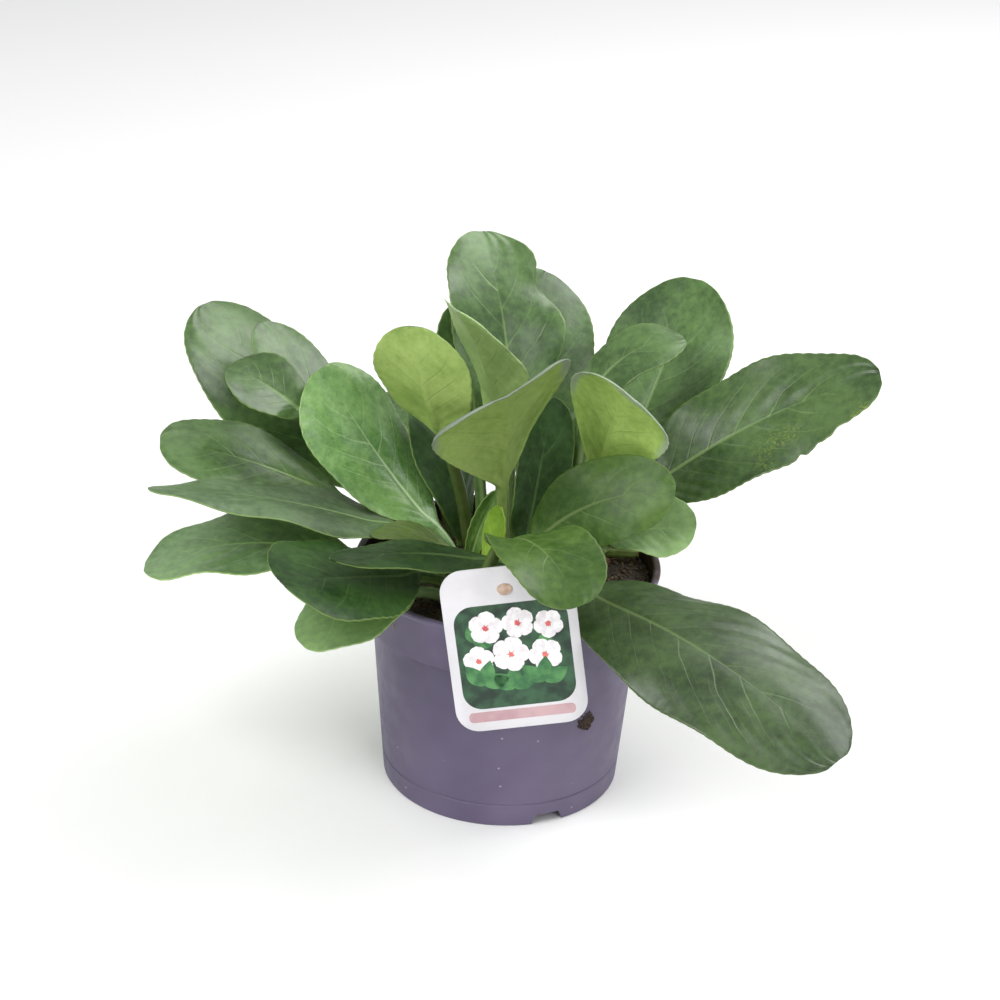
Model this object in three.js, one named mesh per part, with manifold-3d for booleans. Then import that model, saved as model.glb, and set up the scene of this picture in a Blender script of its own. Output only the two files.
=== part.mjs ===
// A bergenia plant in a round nursery pot with a plant card, in millimetres.
// The origin is the middle of the pot's underside, +Z is up and the card faces -Y.
import * as THREE from "three";
import { mergeVertices } from "three/addons/utils/BufferGeometryUtils.js";
import Module from "manifold-3d";

// Driving dimensions of the pot
const RIM_RADIUS = 75;
const POT_HEIGHT = 116;
const BASE_RADIUS = 59;
const COLLAR_BOTTOM = 89.5;
const COLLAR_RADIUS = 71.5;
const SHOULDER_RADIUS = 66;
const LIP_WIDTH = 3.5;
const WALL = 2;
const FLOOR_BOTTOM = 6;
const FLOOR_THICKNESS = 2;
const SKIRT_HEIGHT = 12.5;
const SKIRT_INSET = 0.5;
const FOOT_RADIUS = 14;
const POT_SEGMENTS = 30;

// Drain notches in the foot ring: the one in view lies at the first angle
const NOTCH_COUNT = 3;
const NOTCH_ANGLE = -66;
const NOTCH_BOTTOM_WIDTH = 17;
const NOTCH_TOP_WIDTH = 12;
const NOTCH_HEIGHT = 5.5;

// Soil and crowns
const CLEARANCE = 0.35;
const SOIL_DOME = 1.5;
const SOIL_ROUGHNESS = 1.2;
const SOIL_SEGMENTS = 30;
const SOIL_RINGS = 4;
const SOIL_SEED = 11;
const CROWN_SIDES = 10;
const SOCKET_SIDES = 6;
const SOCKET_DEPTH = 18;
const CROWN_DEPTH = 12;

// Plant card
const CARD_WIDTH = 62;
const CARD_HEIGHT = 80;
const CARD_THICKNESS = 1;
const CARD_CORNER = 11;
const CARD_CENTRE_X = 4.3;
const CARD_CENTRE_Z = 110;
const CARD_TURN = 9;
const CARD_LEAN = 8;
const BUTTON_RADIUS_X = 3.6;
const BUTTON_RADIUS_Y = 2.7;
const BUTTON_HEIGHT = 0.7;
const BUTTON_X = -1;
const BUTTON_Y = 29;
const TONGUE_WIDTH = 9;
const TONGUE_THICKNESS = 1;

// Leaves
const BLADE_HALF_THICKNESS = 0.4;
const KEEL_SHARE = 1.1;
const KEEL_REACH = 4;
const PETIOLE_BLEND = 0.14;
const LARGE_BLADE = 81;
const COLLAR_EDGE = 0.6;
const SOIL_EDGE = 107;

// Crowns: the rootstock ends that the petioles stand in, at [x, y] in the pot
const CROWN_COLOR = 0x5a4433;
const CROWN_LUMPS = 0.24;
const CROWNS = {
  crown_front: { at: [-6, -8], radius: 15, rise: 4, seed: 3 },
  crown_left: { at: [-42, 10], radius: 14, rise: 4, seed: 5 },
  crown_right: { at: [36, 20], radius: 14, rise: 4, seed: 7 },
  crown_back: { at: [2, 36], radius: 14, rise: 4, seed: 9 },
};
const SOIL_COLOR = 0x2a211b;
const POT_COLOR = 0x6b627d;
const CARD_COLOR = 0xe9e6e4;

// Old petiole end on the soil
const STUB_START = [47, 23, 110.5];
const STUB_END = [65, 20, 112];
const STUB_RADIUS = 2.6;
const STUB_SIDES = 8;
const STUB_COLOR = 0x6f8446;

// Path of the card's tongue, [y, z] from the card's back down into the soil
const CARD_MIDDLE_Y = -75.9;
const TONGUE_X = -2;
const TONGUE_PATH = [
  [-72.3, 139],
  [-70.2, 127],
  [-66.5, 118],
  [-64.5, 108],
  [-64, 98],
];

// Shares of the blade's length and of its half width where the leaves have points
const LARGE_STATIONS = [0, 0.07, 0.16, 0.28, 0.41, 0.54, 0.67, 0.79, 0.89, 0.96, 0.992];
const SMALL_STATIONS = [0, 0.1, 0.24, 0.42, 0.6, 0.77, 0.9, 0.985];
const LARGE_COLUMNS = [-1, -0.62, -0.14, 0, 0.14, 0.62, 1];
const SMALL_COLUMNS = [-1, -0.45, 0, 0.45, 1];
const MIDRIB_STEPS = 96;
const SECTION_STEPS = 24;

// How the leaf changes along its length
const ROOT_LEVEL = 104;
const STALK_TAPER = 0.75;
const TIP_FADE = 0.9;
const TIP_SETTLE = 0.08;
const FOLD_FADE = 0.5;
const FOLD_WIDTH = 0.12;
const BASE_GROWTH = 0.25;

const LEAF_TONES = {
  green: { color: 0x46703c, roughness: 0.45 },
  dark: { color: 0x2f5530, roughness: 0.5 },
  glossy: { color: 0x5f8a4e, roughness: 0.35 },
  light: { color: 0x5d8a42, roughness: 0.45 },
  grey: { color: 0x66805f, roughness: 0.45 },
  pale: { color: 0x8fac5a, roughness: 0.6 },
  young: { color: 0x8bb03a, roughness: 0.5 },
};

const LEAF_DEFAULTS = {
  sway: 0,
  curl: 1,
  wide: 0.62,
  tip: 0.5,
  twist: 0,
  stem: 3,
  tone: "green",
};

// The leaves: lengths in millimetres, angles in whole degrees.
// root is the [x, y] of the petiole's foot and azimuth the way the leaf points,
// counted from +X towards +Y, bending by sway on the way out. The midrib climbs
// at lift at the foot, neck where the blade starts and end at the tip; curl above
// 1 keeps the bend for the outer blade. wide is the share of the blade's length
// where it is widest and a small tip number makes a blunt end. turn dips the right
// edge, seen from the foot, and twist adds more of it outwards. fold is the
// crease along the midrib, cup the rise of the left and right halves, ruffle the
// height of the margin's waves.
const LEAVES = {
  leaf_left_upper_large: {
    root: [-51, 24], azimuth: 144, lift: 57, neck: 33, end: 36, petiole: 40, blade: 128,
    width: 74, turn: -12, twist: 24, fold: 8, cup: [-12, -25], ruffle: 1.4, waves: 2,
    phase: 0.3,
  },
  leaf_left_upper_narrow: {
    root: [-40, 11], azimuth: 139, sway: 4, lift: 59, neck: 38, end: 37, petiole: 42,
    blade: 110, width: 43, turn: 6, twist: -10, fold: 12, cup: [-8, -2], ruffle: 1, waves: 2,
    phase: 0.5,
  },
  leaf_left_upper_small: {
    root: [-48, 9], azimuth: 167, sway: -1, lift: 65, neck: 43, end: 11, petiole: 93, blade: 45,
    width: 39, turn: -22, twist: 26, fold: 12, cup: [-1, -7], ruffle: 0.8, waves: 1.5,
    phase: 0.3,
  },
  leaf_left_middle: {
    root: [-46, 17], azimuth: 178, sway: 12, lift: 53, neck: 30, end: 10, petiole: 50,
    blade: 94, width: 51, turn: -19, fold: 6, cup: [-8, -11], ruffle: 1.2, waves: 2, phase: 0.2,
  },
  leaf_left_long_flat: {
    root: [-28, -1], azimuth: 192, sway: 7, lift: 71, neck: 24, end: 7, petiole: 41, blade: 125,
    width: 49, wide: 0.38, tip: 0.6, turn: 9, twist: 10, fold: 8, cup: [-34, -3], ruffle: 1.2,
    waves: 2.5, phase: 0.5, tone: "grey",
  },
  leaf_left_drooping: {
    root: [-42, -14], azimuth: 185, sway: -1, lift: 37, neck: 22, end: -27, petiole: 35,
    blade: 106, width: 56, turn: -5, twist: 14, fold: 5, cup: [-4, 0], ruffle: 1.6, waves: 2.5,
    phase: 0, tone: "grey",
  },
  leaf_left_front_wide: {
    root: [-22, -20], azimuth: 223, sway: -2, lift: 56, neck: 18, end: 13, petiole: 36,
    blade: 83, width: 67, turn: -11, twist: -2, fold: 4, cup: [-10, -5], ruffle: 1.2,
    waves: 2.2, phase: 0.4, tone: "dark",
  },
  leaf_left_front_narrow: {
    root: [6, -21], azimuth: 213, sway: 4, lift: 88, neck: 25, end: 6, petiole: 32, blade: 92,
    width: 35, turn: -8, twist: 29, fold: 5, cup: [-5, -27], ruffle: 0.8, waves: 2, phase: 0.4,
    stem: 2.6, tone: "dark",
  },
  leaf_left_front_low: {
    root: [-25, -30], azimuth: 216, sway: -7, lift: 57, neck: 9, end: -33, petiole: 28,
    blade: 63, width: 52, turn: 1, twist: 6, fold: 4, cup: [-8, -4], ruffle: 1.2, waves: 2,
    phase: 0.1, tone: "light",
  },
  leaf_left_glossy: {
    root: [-22, 3], azimuth: 160, sway: -4, lift: 73, neck: 43, end: 56, petiole: 27, blade: 98,
    width: 63, turn: -10, twist: -6, fold: 10, cup: [-30, -22], ruffle: 1.2, waves: 2,
    phase: 0.7, tone: "glossy",
  },
  leaf_centre_left_pale: {
    root: [-19, 25], azimuth: 242, sway: -11, lift: 80, neck: 60, end: 79, petiole: 84,
    blade: 66, width: 50, wide: 0.55, turn: 8, twist: 20, fold: 5, cup: [3, -17], ruffle: 0.8,
    waves: 2, phase: 0.4, tone: "pale",
  },
  leaf_centre_left_dark: {
    root: [-23, 30], azimuth: 125, sway: 5, lift: 88, neck: 86, end: 36, petiole: 7, blade: 76,
    width: 41, turn: 13, twist: -25, fold: 10, cup: [-12, -22], ruffle: 0.8, waves: 2,
    phase: 0.1, tone: "dark",
  },
  leaf_back_tall: {
    root: [0, 36], azimuth: 105, sway: 8, lift: 85, neck: 89, end: 33, petiole: 57, blade: 111,
    width: 59, wide: 0.6, turn: 7, twist: 6, fold: 6, cup: [2, 7], ruffle: 2.2, waves: 2.5,
    phase: 0.1,
  },
  leaf_back_beside_tall: {
    root: [11, 36], azimuth: 83, sway: 7, lift: 70, neck: 66, end: 36, petiole: 45, blade: 101,
    width: 58, turn: 28, twist: 18, fold: 4, cup: [1, 2], ruffle: 1.2, waves: 2, phase: 0.6,
  },
  leaf_back_sliver: {
    root: [-12, 28], azimuth: 110, sway: 5, lift: 78, neck: 73, end: 61, petiole: 49, blade: 79,
    width: 34, turn: -6, twist: 4, fold: 5, cup: [0, 1], ruffle: 0.8, waves: 2, phase: 0.1,
  },
  leaf_back_folded_pale: {
    root: [-3, 21], azimuth: 230, lift: 90, neck: 84, end: 46, petiole: 67, blade: 89,
    width: 50, wide: 0.6, turn: -9, twist: -7, fold: 20, cup: [-5, -5], ruffle: 0.8, waves: 2,
    phase: 0.6, tone: "pale",
  },
  leaf_front_cupped: {
    root: [-4, -1], azimuth: 266, sway: 6, lift: 89, neck: 75, end: 22, curl: 2, petiole: 56,
    blade: 80, width: 78, wide: 0.68, turn: 36, twist: -22, fold: 10, cup: [9, -7], ruffle: 1,
    waves: 1.5, phase: 0.3, tone: "pale",
  },
  leaf_right_cupped: {
    root: [43, 17], azimuth: 287, lift: 87, neck: 83, end: 33, curl: 1.3, petiole: 43,
    blade: 79, width: 57, wide: 0.7, turn: -52, twist: 15, fold: 6, cup: [-1, -2], ruffle: 1,
    waves: 1.5, phase: 0.6, tone: "pale",
  },
  leaf_right_back_narrow: {
    root: [28, 33], azimuth: 24, sway: -3, lift: 86, neck: 83, end: -10, petiole: 71, blade: 73,
    width: 34, turn: 12, twist: 1, fold: 5, cup: [-6, -10], ruffle: 1, waves: 2, phase: 0.2,
  },
  leaf_right_front: {
    root: [4, -8], azimuth: 340, sway: 11, lift: 87, neck: 57, end: 2, petiole: 27, blade: 81,
    width: 43, wide: 0.58, turn: 54, twist: -23, fold: 6, cup: [-5, -22], ruffle: 1.4, waves: 2,
    phase: 0, tone: "light",
  },
  leaf_right_back_round: {
    root: [38, 31], azimuth: 58, sway: 1, lift: 60, neck: 40, end: 60, petiole: 49, blade: 107,
    width: 75, wide: 0.6, turn: -6, twist: -17, fold: 4, cup: [0, -2], ruffle: 1.2, waves: 2,
    phase: 0.3,
  },
  leaf_right_large: {
    root: [37, 23], azimuth: 3, sway: -7, lift: 64, neck: 43, end: 20, petiole: 51, blade: 129,
    width: 64, wide: 0.52, turn: 32, twist: -15, fold: 8, cup: [-4, -2], ruffle: 2, waves: 2.5,
    phase: 0.2,
  },
  leaf_right_small: {
    root: [29, -7], azimuth: 357, sway: -6, lift: 71, neck: 38, end: -10, petiole: 34,
    blade: 44, width: 39, wide: 0.55, turn: 16, twist: 40, fold: 4, cup: [9, 1], ruffle: 0.8,
    waves: 2, phase: 0.5, tone: "light",
  },
  leaf_right_drooping: {
    root: [14, -24], azimuth: 319, lift: 59, neck: 6, end: -26, petiole: 33, blade: 157,
    width: 75, wide: 0.52, tip: 0.45, turn: 12, twist: 9, fold: 4, cup: [-21, -27], ruffle: 2,
    waves: 2.5, phase: 0.6,
  },
  leaf_front_over_card: {
    root: [-13, -39], azimuth: 303, sway: -1, lift: 88, neck: 53, end: -41, curl: 0.8,
    petiole: 49, blade: 76, width: 47, wide: 0.6, tip: 0.45, turn: 5, twist: 32, fold: 4,
    cup: [4, 19], ruffle: 1.4, waves: 2, phase: 0.8, tone: "light",
  },
  leaf_centre_dark: {
    root: [6, 8], azimuth: 64, sway: -2, lift: 82, neck: 66, end: 78, petiole: 13, blade: 77,
    width: 32, turn: 49, twist: 10, fold: 18, cup: [17, 6], ruffle: 0.8, waves: 2, phase: 0.3,
    tone: "dark",
  },
  leaf_young_folded: {
    root: [-20, -3], azimuth: 42, sway: -10, lift: 85, neck: 79, end: 53, petiole: 8, blade: 42,
    width: 12, turn: 53, twist: 22, fold: 30, cup: [12, 7], ruffle: 0, waves: 2, phase: 0,
    tone: "light",
  },
  leaf_young_pale: {
    root: [-9, -21], azimuth: 60, sway: -10, lift: 88, neck: 77, end: 85, petiole: 10,
    blade: 39, width: 15, turn: -5, fold: 20, cup: [3, 8], ruffle: 0, waves: 2, phase: 0,
    tone: "young",
  },
  leaf_young_left: {
    root: [-21, -10], azimuth: 202, sway: 10, lift: 88, neck: 45, end: -3, petiole: 26,
    blade: 44, width: 18, wide: 0.55, turn: -17, twist: 47, fold: 10, cup: [-11, -8],
    ruffle: 0.6, waves: 2, phase: 0.2, tone: "pale",
  },
  leaf_rear_left: {
    root: [-26, 36], azimuth: 118, lift: 56, neck: 30, end: -10, petiole: 40, blade: 80,
    width: 58, turn: 0, fold: 8, cup: [-4, -4], ruffle: 1.4, waves: 2, phase: 0.1,
  },
  leaf_rear_middle: {
    root: [0, 48], azimuth: 92, lift: 52, neck: 34, end: 0, petiole: 36, blade: 80, width: 62,
    turn: 0, fold: 8, cup: [-4, -4], ruffle: 1.4, waves: 2, phase: 0.5,
  },
  leaf_rear_right: {
    root: [26, 44], azimuth: 66, lift: 54, neck: 38, end: 4, petiole: 38, blade: 80, width: 60,
    turn: 0, fold: 8, cup: [-4, -4], ruffle: 1.4, waves: 2, phase: 0.8,
  },
  leaf_rear_far_right: {
    root: [44, 29], azimuth: 34, sway: 1, lift: 44, neck: 38, end: 5, petiole: 29, blade: 80,
    width: 52, turn: -1, twist: -21, fold: 8, cup: [-4, -6], ruffle: 1.4, waves: 2, phase: 0.3,
  },
  leaf_rear_far_left: {
    root: [-39, 32], azimuth: 130, sway: 1, lift: 47, neck: 28, end: -6, petiole: 25, blade: 78,
    width: 50, turn: 10, twist: -11, fold: 8, cup: [-3, -5], ruffle: 1.2, waves: 2, phase: 0.6,
  },
};

const degrees = Math.PI / 180;
const wasm = await Module();
wasm.setup();

// Small seeded generator, so that every uneven surface is the same each time
function seededRandom(seed) {
  let state = seed;
  return () => {
    state = (state * 1664525 + 1013904223) % 4294967296;
    return state / 4294967296;
  };
}

function smoothStep(from, to, x) {
  const u = THREE.MathUtils.clamp((x - from) / (to - from), 0, 1);
  return u * u * (3 - 2 * u);
}

// Solid from a geometry, with its equal points merged
function solidOf(geometry) {
  const bare = new THREE.BufferGeometry();
  const flat = geometry.index ? geometry.toNonIndexed() : geometry;
  bare.setAttribute("position", flat.getAttribute("position").clone());
  const merged = mergeVertices(bare, 1e-3);
  const mesh = new wasm.Mesh({
    numProp: 3,
    vertProperties: new Float32Array(merged.attributes.position.array),
    triVerts: new Uint32Array(merged.index.array),
  });
  return new wasm.Manifold(mesh);
}

function geometryOf(solid) {
  const mesh = solid.getMesh();
  const geometry = new THREE.BufferGeometry();
  const points = new Float32Array(mesh.numVert * 3);
  for (let i = 0; i < mesh.numVert; i++) {
    const start = i * mesh.numProp;
    points.set(mesh.vertProperties.subarray(start, start + 3), i * 3);
  }
  geometry.setAttribute("position", new THREE.BufferAttribute(points, 3));
  geometry.setIndex(new THREE.BufferAttribute(mesh.triVerts, 1));
  return geometry;
}

// Closed surface of revolution about Z from a profile of [radius, height] pairs
function revolve(profile, segments) {
  const points = profile.map(([radius, height]) => new THREE.Vector2(radius, height));
  const geometry = new THREE.LatheGeometry(points, segments);
  geometry.rotateX(90 * degrees);
  return geometry;
}

// Closed surface over rows of points, each row a ring of the same count
function closeRings(rings) {
  const positions = [];
  const count = rings[0].length;
  const triangle = (a, b, c) => positions.push(...a, ...b, ...c);
  for (let i = 0; i + 1 < rings.length; i++) {
    for (let j = 0; j < count; j++) {
      const k = (j + 1) % count;
      triangle(rings[i][j], rings[i][k], rings[i + 1][k]);
      triangle(rings[i][j], rings[i + 1][k], rings[i + 1][j]);
    }
  }
  const first = rings[0];
  const last = rings[rings.length - 1];
  for (let j = 1; j + 1 < count; j++) {
    triangle(first[0], first[j + 1], first[j]);
    triangle(last[0], last[j], last[j + 1]);
  }
  const geometry = new THREE.BufferGeometry();
  geometry.setAttribute("position", new THREE.Float32BufferAttribute(positions, 3));
  return geometry;
}

// Fills in what a row of the leaf table leaves out
function wholeLeaf(row) {
  return { ...LEAF_DEFAULTS, ...row };
}

// Direction of growth, in degrees, at a length along petiole and blade
function growthAt(leaf, length) {
  const along = Math.min(length / leaf.petiole, 1);
  const out = Math.max((length - leaf.petiole) / leaf.blade, 0);
  const rise = leaf.lift + (leaf.neck - leaf.lift) * along;
  const level = (leaf.end - leaf.neck) * Math.pow(out, leaf.curl);
  const eased = smoothStep(0, 1, along);
  return {
    elevation: rise + level,
    azimuth: leaf.azimuth + (leaf.sway * length) / (leaf.petiole + leaf.blade),
    turn: (leaf.turn - leaf.twist / 2) * eased + leaf.twist * out,
  };
}

// Frame on the midrib: the way it grows, its side and the way its face looks
function frameAt(leaf, length) {
  const growth = growthAt(leaf, length);
  const azimuth = growth.azimuth * degrees;
  const elevation = growth.elevation * degrees;
  const turn = growth.turn * degrees;
  const flat = Math.cos(elevation);
  const forward = new THREE.Vector3(
    Math.cos(azimuth) * flat,
    Math.sin(azimuth) * flat,
    Math.sin(elevation),
  );
  const level = new THREE.Vector3(Math.sin(azimuth), -Math.cos(azimuth), 0);
  const above = new THREE.Vector3().crossVectors(level, forward);
  const side = level.clone().multiplyScalar(Math.cos(turn));
  side.addScaledVector(above, -Math.sin(turn));
  const up = above.clone().multiplyScalar(Math.cos(turn));
  up.addScaledVector(level, Math.sin(turn));
  return { forward, side, up };
}

// Points of the midrib at the given lengths, walked in short steps from the root
function midribAt(leaf, lengths) {
  const total = leaf.petiole + leaf.blade;
  const step = total / MIDRIB_STEPS;
  const walked = [new THREE.Vector3(leaf.root[0], leaf.root[1], ROOT_LEVEL)];
  for (let i = 0; i < MIDRIB_STEPS; i++) {
    const next = walked[i].clone();
    next.addScaledVector(frameAt(leaf, (i + 0.5) * step).forward, step);
    walked.push(next);
  }
  return lengths.map((length) => {
    const place = THREE.MathUtils.clamp(length / step, 0, MIDRIB_STEPS - 1e-6);
    const before = Math.floor(place);
    const point = walked[before].clone();
    return point.lerp(walked[before + 1], place - before);
  });
}

// Share of the full blade width, from 0 at the neck to 1 at its widest
function outlineAt(leaf, out) {
  if (out <= 0 || out >= 1) return 0;
  const rise = (leaf.tip * leaf.wide) / (1 - leaf.wide);
  const shape = (t) => Math.pow(t, rise) * Math.pow(1 - t, leaf.tip);
  return shape(out) / shape(leaf.wide);
}

function stalkRadius(leaf, out) {
  return leaf.stem * (1 - STALK_TAPER * THREE.MathUtils.clamp(out, 0, 1));
}

function halfWidthAt(leaf, out) {
  const blade = (leaf.width / 2) * outlineAt(leaf, out);
  const fade = out > TIP_FADE ? Math.sqrt(Math.max(1 - out, 0) / (1 - TIP_FADE)) : 1;
  return Math.hypot(blade, stalkRadius(leaf, out) * fade);
}

// Slope in degrees of the blade at a share of its half width
function slopeAt(leaf, across, share, out) {
  const cup = across < 0 ? leaf.cup[0] : leaf.cup[1];
  const fold = leaf.fold * (1 - FOLD_FADE * THREE.MathUtils.clamp(out, 0, 1));
  return fold * Math.tanh(share / FOLD_WIDTH) + cup * share;
}

// Place of a point of the cross section: sideways and up from the midrib
function sectionAt(leaf, out, half, across) {
  const grown = THREE.MathUtils.clamp(out / BASE_GROWTH, 0, 1);
  const reach = Math.abs(across);
  let sideways = 0;
  let up = 0;
  for (let i = 0; i < SECTION_STEPS; i++) {
    const share = (reach * (i + 0.5)) / SECTION_STEPS;
    const slope = slopeAt(leaf, across, share, out) * grown * degrees;
    sideways += (Math.cos(slope) * reach * half) / SECTION_STEPS;
    up += (Math.sin(slope) * reach * half) / SECTION_STEPS;
  }
  const settled = THREE.MathUtils.clamp((1 - out) / TIP_SETTLE, 0, 1);
  const shift = across < 0 ? 0.5 : 0;
  const wave = Math.sin(2 * Math.PI * (leaf.waves * Math.max(out, 0) + leaf.phase + shift));
  up += leaf.ruffle * Math.pow(reach, 3) * wave * grown * settled;
  return [Math.sign(across) * sideways, up];
}

// Depth of the blade above and below its middle surface at a point
function depthsAt(leaf, out, half, across) {
  const stalk = stalkRadius(leaf, out) * Math.sqrt(Math.max(1 - across * across, 0));
  const round = Math.max(stalk, BLADE_HALF_THICKNESS);
  const petiole = 1 - smoothStep(0, PETIOLE_BLEND, out);
  const near = THREE.MathUtils.clamp(1 - (Math.abs(across) * half) / KEEL_REACH, 0, 1);
  const keel = leaf.stem * KEEL_SHARE * (1 - out) * near;
  const top = petiole * round + (1 - petiole) * BLADE_HALF_THICKNESS;
  const bottom = petiole * round + (1 - petiole) * (BLADE_HALF_THICKNESS + keel);
  return [top, bottom];
}

// Ring of points round the leaf at one length: over the top, then back below
function leafRing(leaf, length, middle, columns) {
  const out = (length - leaf.petiole) / leaf.blade;
  const frame = frameAt(leaf, length);
  const half = halfWidthAt(leaf, out);
  const points = columns.map((across) => sectionAt(leaf, out, half, across));
  const top = [];
  const bottom = [];
  points.forEach(([x, z], j) => {
    const [x0, z0] = points[Math.max(j - 1, 0)];
    const [x1, z1] = points[Math.min(j + 1, points.length - 1)];
    const run = Math.hypot(x1 - x0, z1 - z0);
    const lean = [-(z1 - z0) / run, (x1 - x0) / run];
    const [above, below] = depthsAt(leaf, out, half, columns[j]);
    const place = (depth) => {
      const point = middle.clone();
      point.addScaledVector(frame.side, x + lean[0] * depth);
      point.addScaledVector(frame.up, z + lean[1] * depth);
      return point.toArray();
    };
    top.push(place(above));
    bottom.push(place(-below));
  });
  return top.concat(bottom.reverse());
}

// Skin over the rings: both faces split along the same diagonals, blunt margins
function skinLeaf(rings) {
  const positions = [];
  const count = rings[0].length;
  const columns = count / 2;
  const triangle = (a, b, c) => positions.push(...a, ...b, ...c);
  for (let i = 0; i + 1 < rings.length; i++) {
    const here = rings[i];
    const next = rings[i + 1];
    for (let j = 0; j < count; j++) {
      const k = (j + 1) % count;
      if (j < columns) {
        triangle(here[j], next[k], next[j]);
        triangle(here[j], here[k], next[k]);
      } else {
        triangle(here[k], next[j], here[j]);
        triangle(here[k], next[k], next[j]);
      }
    }
  }
  const first = rings[0];
  const last = rings[rings.length - 1];
  for (let j = 0; j + 1 < columns; j++) {
    const under = count - 1 - j;
    triangle(first[j], first[under], first[under - 1]);
    triangle(first[j], first[under - 1], first[j + 1]);
    triangle(last[j], last[under - 1], last[under]);
    triangle(last[j], last[j + 1], last[under - 1]);
  }
  const geometry = new THREE.BufferGeometry();
  geometry.setAttribute("position", new THREE.Float32BufferAttribute(positions, 3));
  return geometry;
}

// One leaf, petiole and blade in one piece
function leafGeometry(row) {
  const leaf = wholeLeaf(row);
  const large = leaf.blade > LARGE_BLADE;
  const columns = large ? LARGE_COLUMNS : SMALL_COLUMNS;
  const shares = large ? LARGE_STATIONS : SMALL_STATIONS;
  const lengths = [0, leaf.petiole / 2];
  shares.forEach((share) => lengths.push(leaf.petiole + share * leaf.blade));
  const middles = midribAt(leaf, lengths);
  const rings = lengths.map((length, i) => leafRing(leaf, length, middles[i], columns));
  return skinLeaf(rings);
}

// Cutter for the plain hole a petiole stands in, a clearance wider all round
function socketSolid(row) {
  const leaf = { ...wholeLeaf(row), turn: 0, twist: 0 };
  const lengths = [0, leaf.petiole / 2];
  if (leaf.petiole / 2 < SOCKET_DEPTH) lengths.push(leaf.petiole);
  const middles = midribAt(leaf, lengths);
  const radius = (leaf.stem + CLEARANCE) / Math.cos(Math.PI / SOCKET_SIDES);
  const rings = lengths.map((length, i) => {
    const frame = frameAt(leaf, length);
    const start = i === 0 ? -CLEARANCE : 0;
    return Array.from({ length: SOCKET_SIDES }, (_, side) => {
      const angle = (2 * Math.PI * (side + 0.5)) / SOCKET_SIDES;
      const point = middles[i].clone().addScaledVector(frame.forward, start);
      point.addScaledVector(frame.side, radius * Math.cos(angle));
      point.addScaledVector(frame.up, radius * Math.sin(angle));
      return point.toArray();
    });
  });
  return solidOf(closeRings(rings.map((ring) => ring.reverse())));
}

// Radius of the pot's outer wall below the collar at a height
function wallRadius(height) {
  const share = height / COLLAR_BOTTOM;
  return BASE_RADIUS + (SHOULDER_RADIUS - BASE_RADIUS) * share;
}

// Outer skin from the foot up to the rim, then the inner skin back to the axis
function potProfile() {
  const inner = RIM_RADIUS - LIP_WIDTH;
  const floorTop = FLOOR_BOTTOM + FLOOR_THICKNESS;
  return [
    [0, 0],
    [FOOT_RADIUS, 0],
    [FOOT_RADIUS, FLOOR_BOTTOM],
    [BASE_RADIUS - WALL, FLOOR_BOTTOM],
    [BASE_RADIUS - WALL, 0],
    [BASE_RADIUS, 0],
    [wallRadius(SKIRT_HEIGHT) - SKIRT_INSET, SKIRT_HEIGHT],
    [wallRadius(SKIRT_HEIGHT), SKIRT_HEIGHT + SKIRT_INSET],
    [SHOULDER_RADIUS, COLLAR_BOTTOM],
    [COLLAR_RADIUS, COLLAR_BOTTOM + COLLAR_EDGE],
    [RIM_RADIUS, POT_HEIGHT],
    [inner, POT_HEIGHT],
    [COLLAR_RADIUS - WALL, COLLAR_BOTTOM + WALL],
    [SHOULDER_RADIUS - WALL, COLLAR_BOTTOM - WALL],
    [wallRadius(floorTop) - WALL, floorTop],
    [0, floorTop],
  ];
}

// Wedge that cuts one drain notch through the foot ring
function notchCutter(angle) {
  const shape = new THREE.Shape();
  shape.moveTo(-NOTCH_BOTTOM_WIDTH / 2, -1);
  shape.lineTo(NOTCH_BOTTOM_WIDTH / 2, -1);
  shape.lineTo(NOTCH_BOTTOM_WIDTH / 2, 0);
  shape.lineTo(NOTCH_TOP_WIDTH / 2, NOTCH_HEIGHT);
  shape.lineTo(-NOTCH_TOP_WIDTH / 2, NOTCH_HEIGHT);
  shape.lineTo(-NOTCH_BOTTOM_WIDTH / 2, 0);
  const depth = 8 * WALL;
  const geometry = new THREE.ExtrudeGeometry(shape, { depth, bevelEnabled: false });
  geometry.rotateX(90 * degrees);
  geometry.translate(0, -(BASE_RADIUS - depth / 2), 0);
  geometry.rotateZ((angle + 90) * degrees);
  return solidOf(geometry);
}

function potSolid() {
  let pot = solidOf(revolve(potProfile(), POT_SEGMENTS));
  for (let i = 0; i < NOTCH_COUNT; i++) {
    pot = pot.subtract(notchCutter(NOTCH_ANGLE + (360 / NOTCH_COUNT) * i));
  }
  return pot;
}

// Radii and heights of the soil's side, a clearance inside the pot's inner skin
function soilSide() {
  const floorTop = FLOOR_BOTTOM + FLOOR_THICKNESS;
  const collarShare = (SOIL_EDGE - COLLAR_BOTTOM) / (POT_HEIGHT - COLLAR_BOTTOM);
  const lip = RIM_RADIUS - LIP_WIDTH;
  const mouth = COLLAR_RADIUS - WALL + (lip - COLLAR_RADIUS + WALL) * collarShare;
  return [
    [wallRadius(floorTop) - WALL - CLEARANCE, floorTop + CLEARANCE],
    [SHOULDER_RADIUS - WALL - CLEARANCE, COLLAR_BOTTOM - WALL],
    [COLLAR_RADIUS - WALL - CLEARANCE, COLLAR_BOTTOM + WALL + CLEARANCE],
    [mouth - CLEARANCE, SOIL_EDGE],
  ];
}

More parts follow.
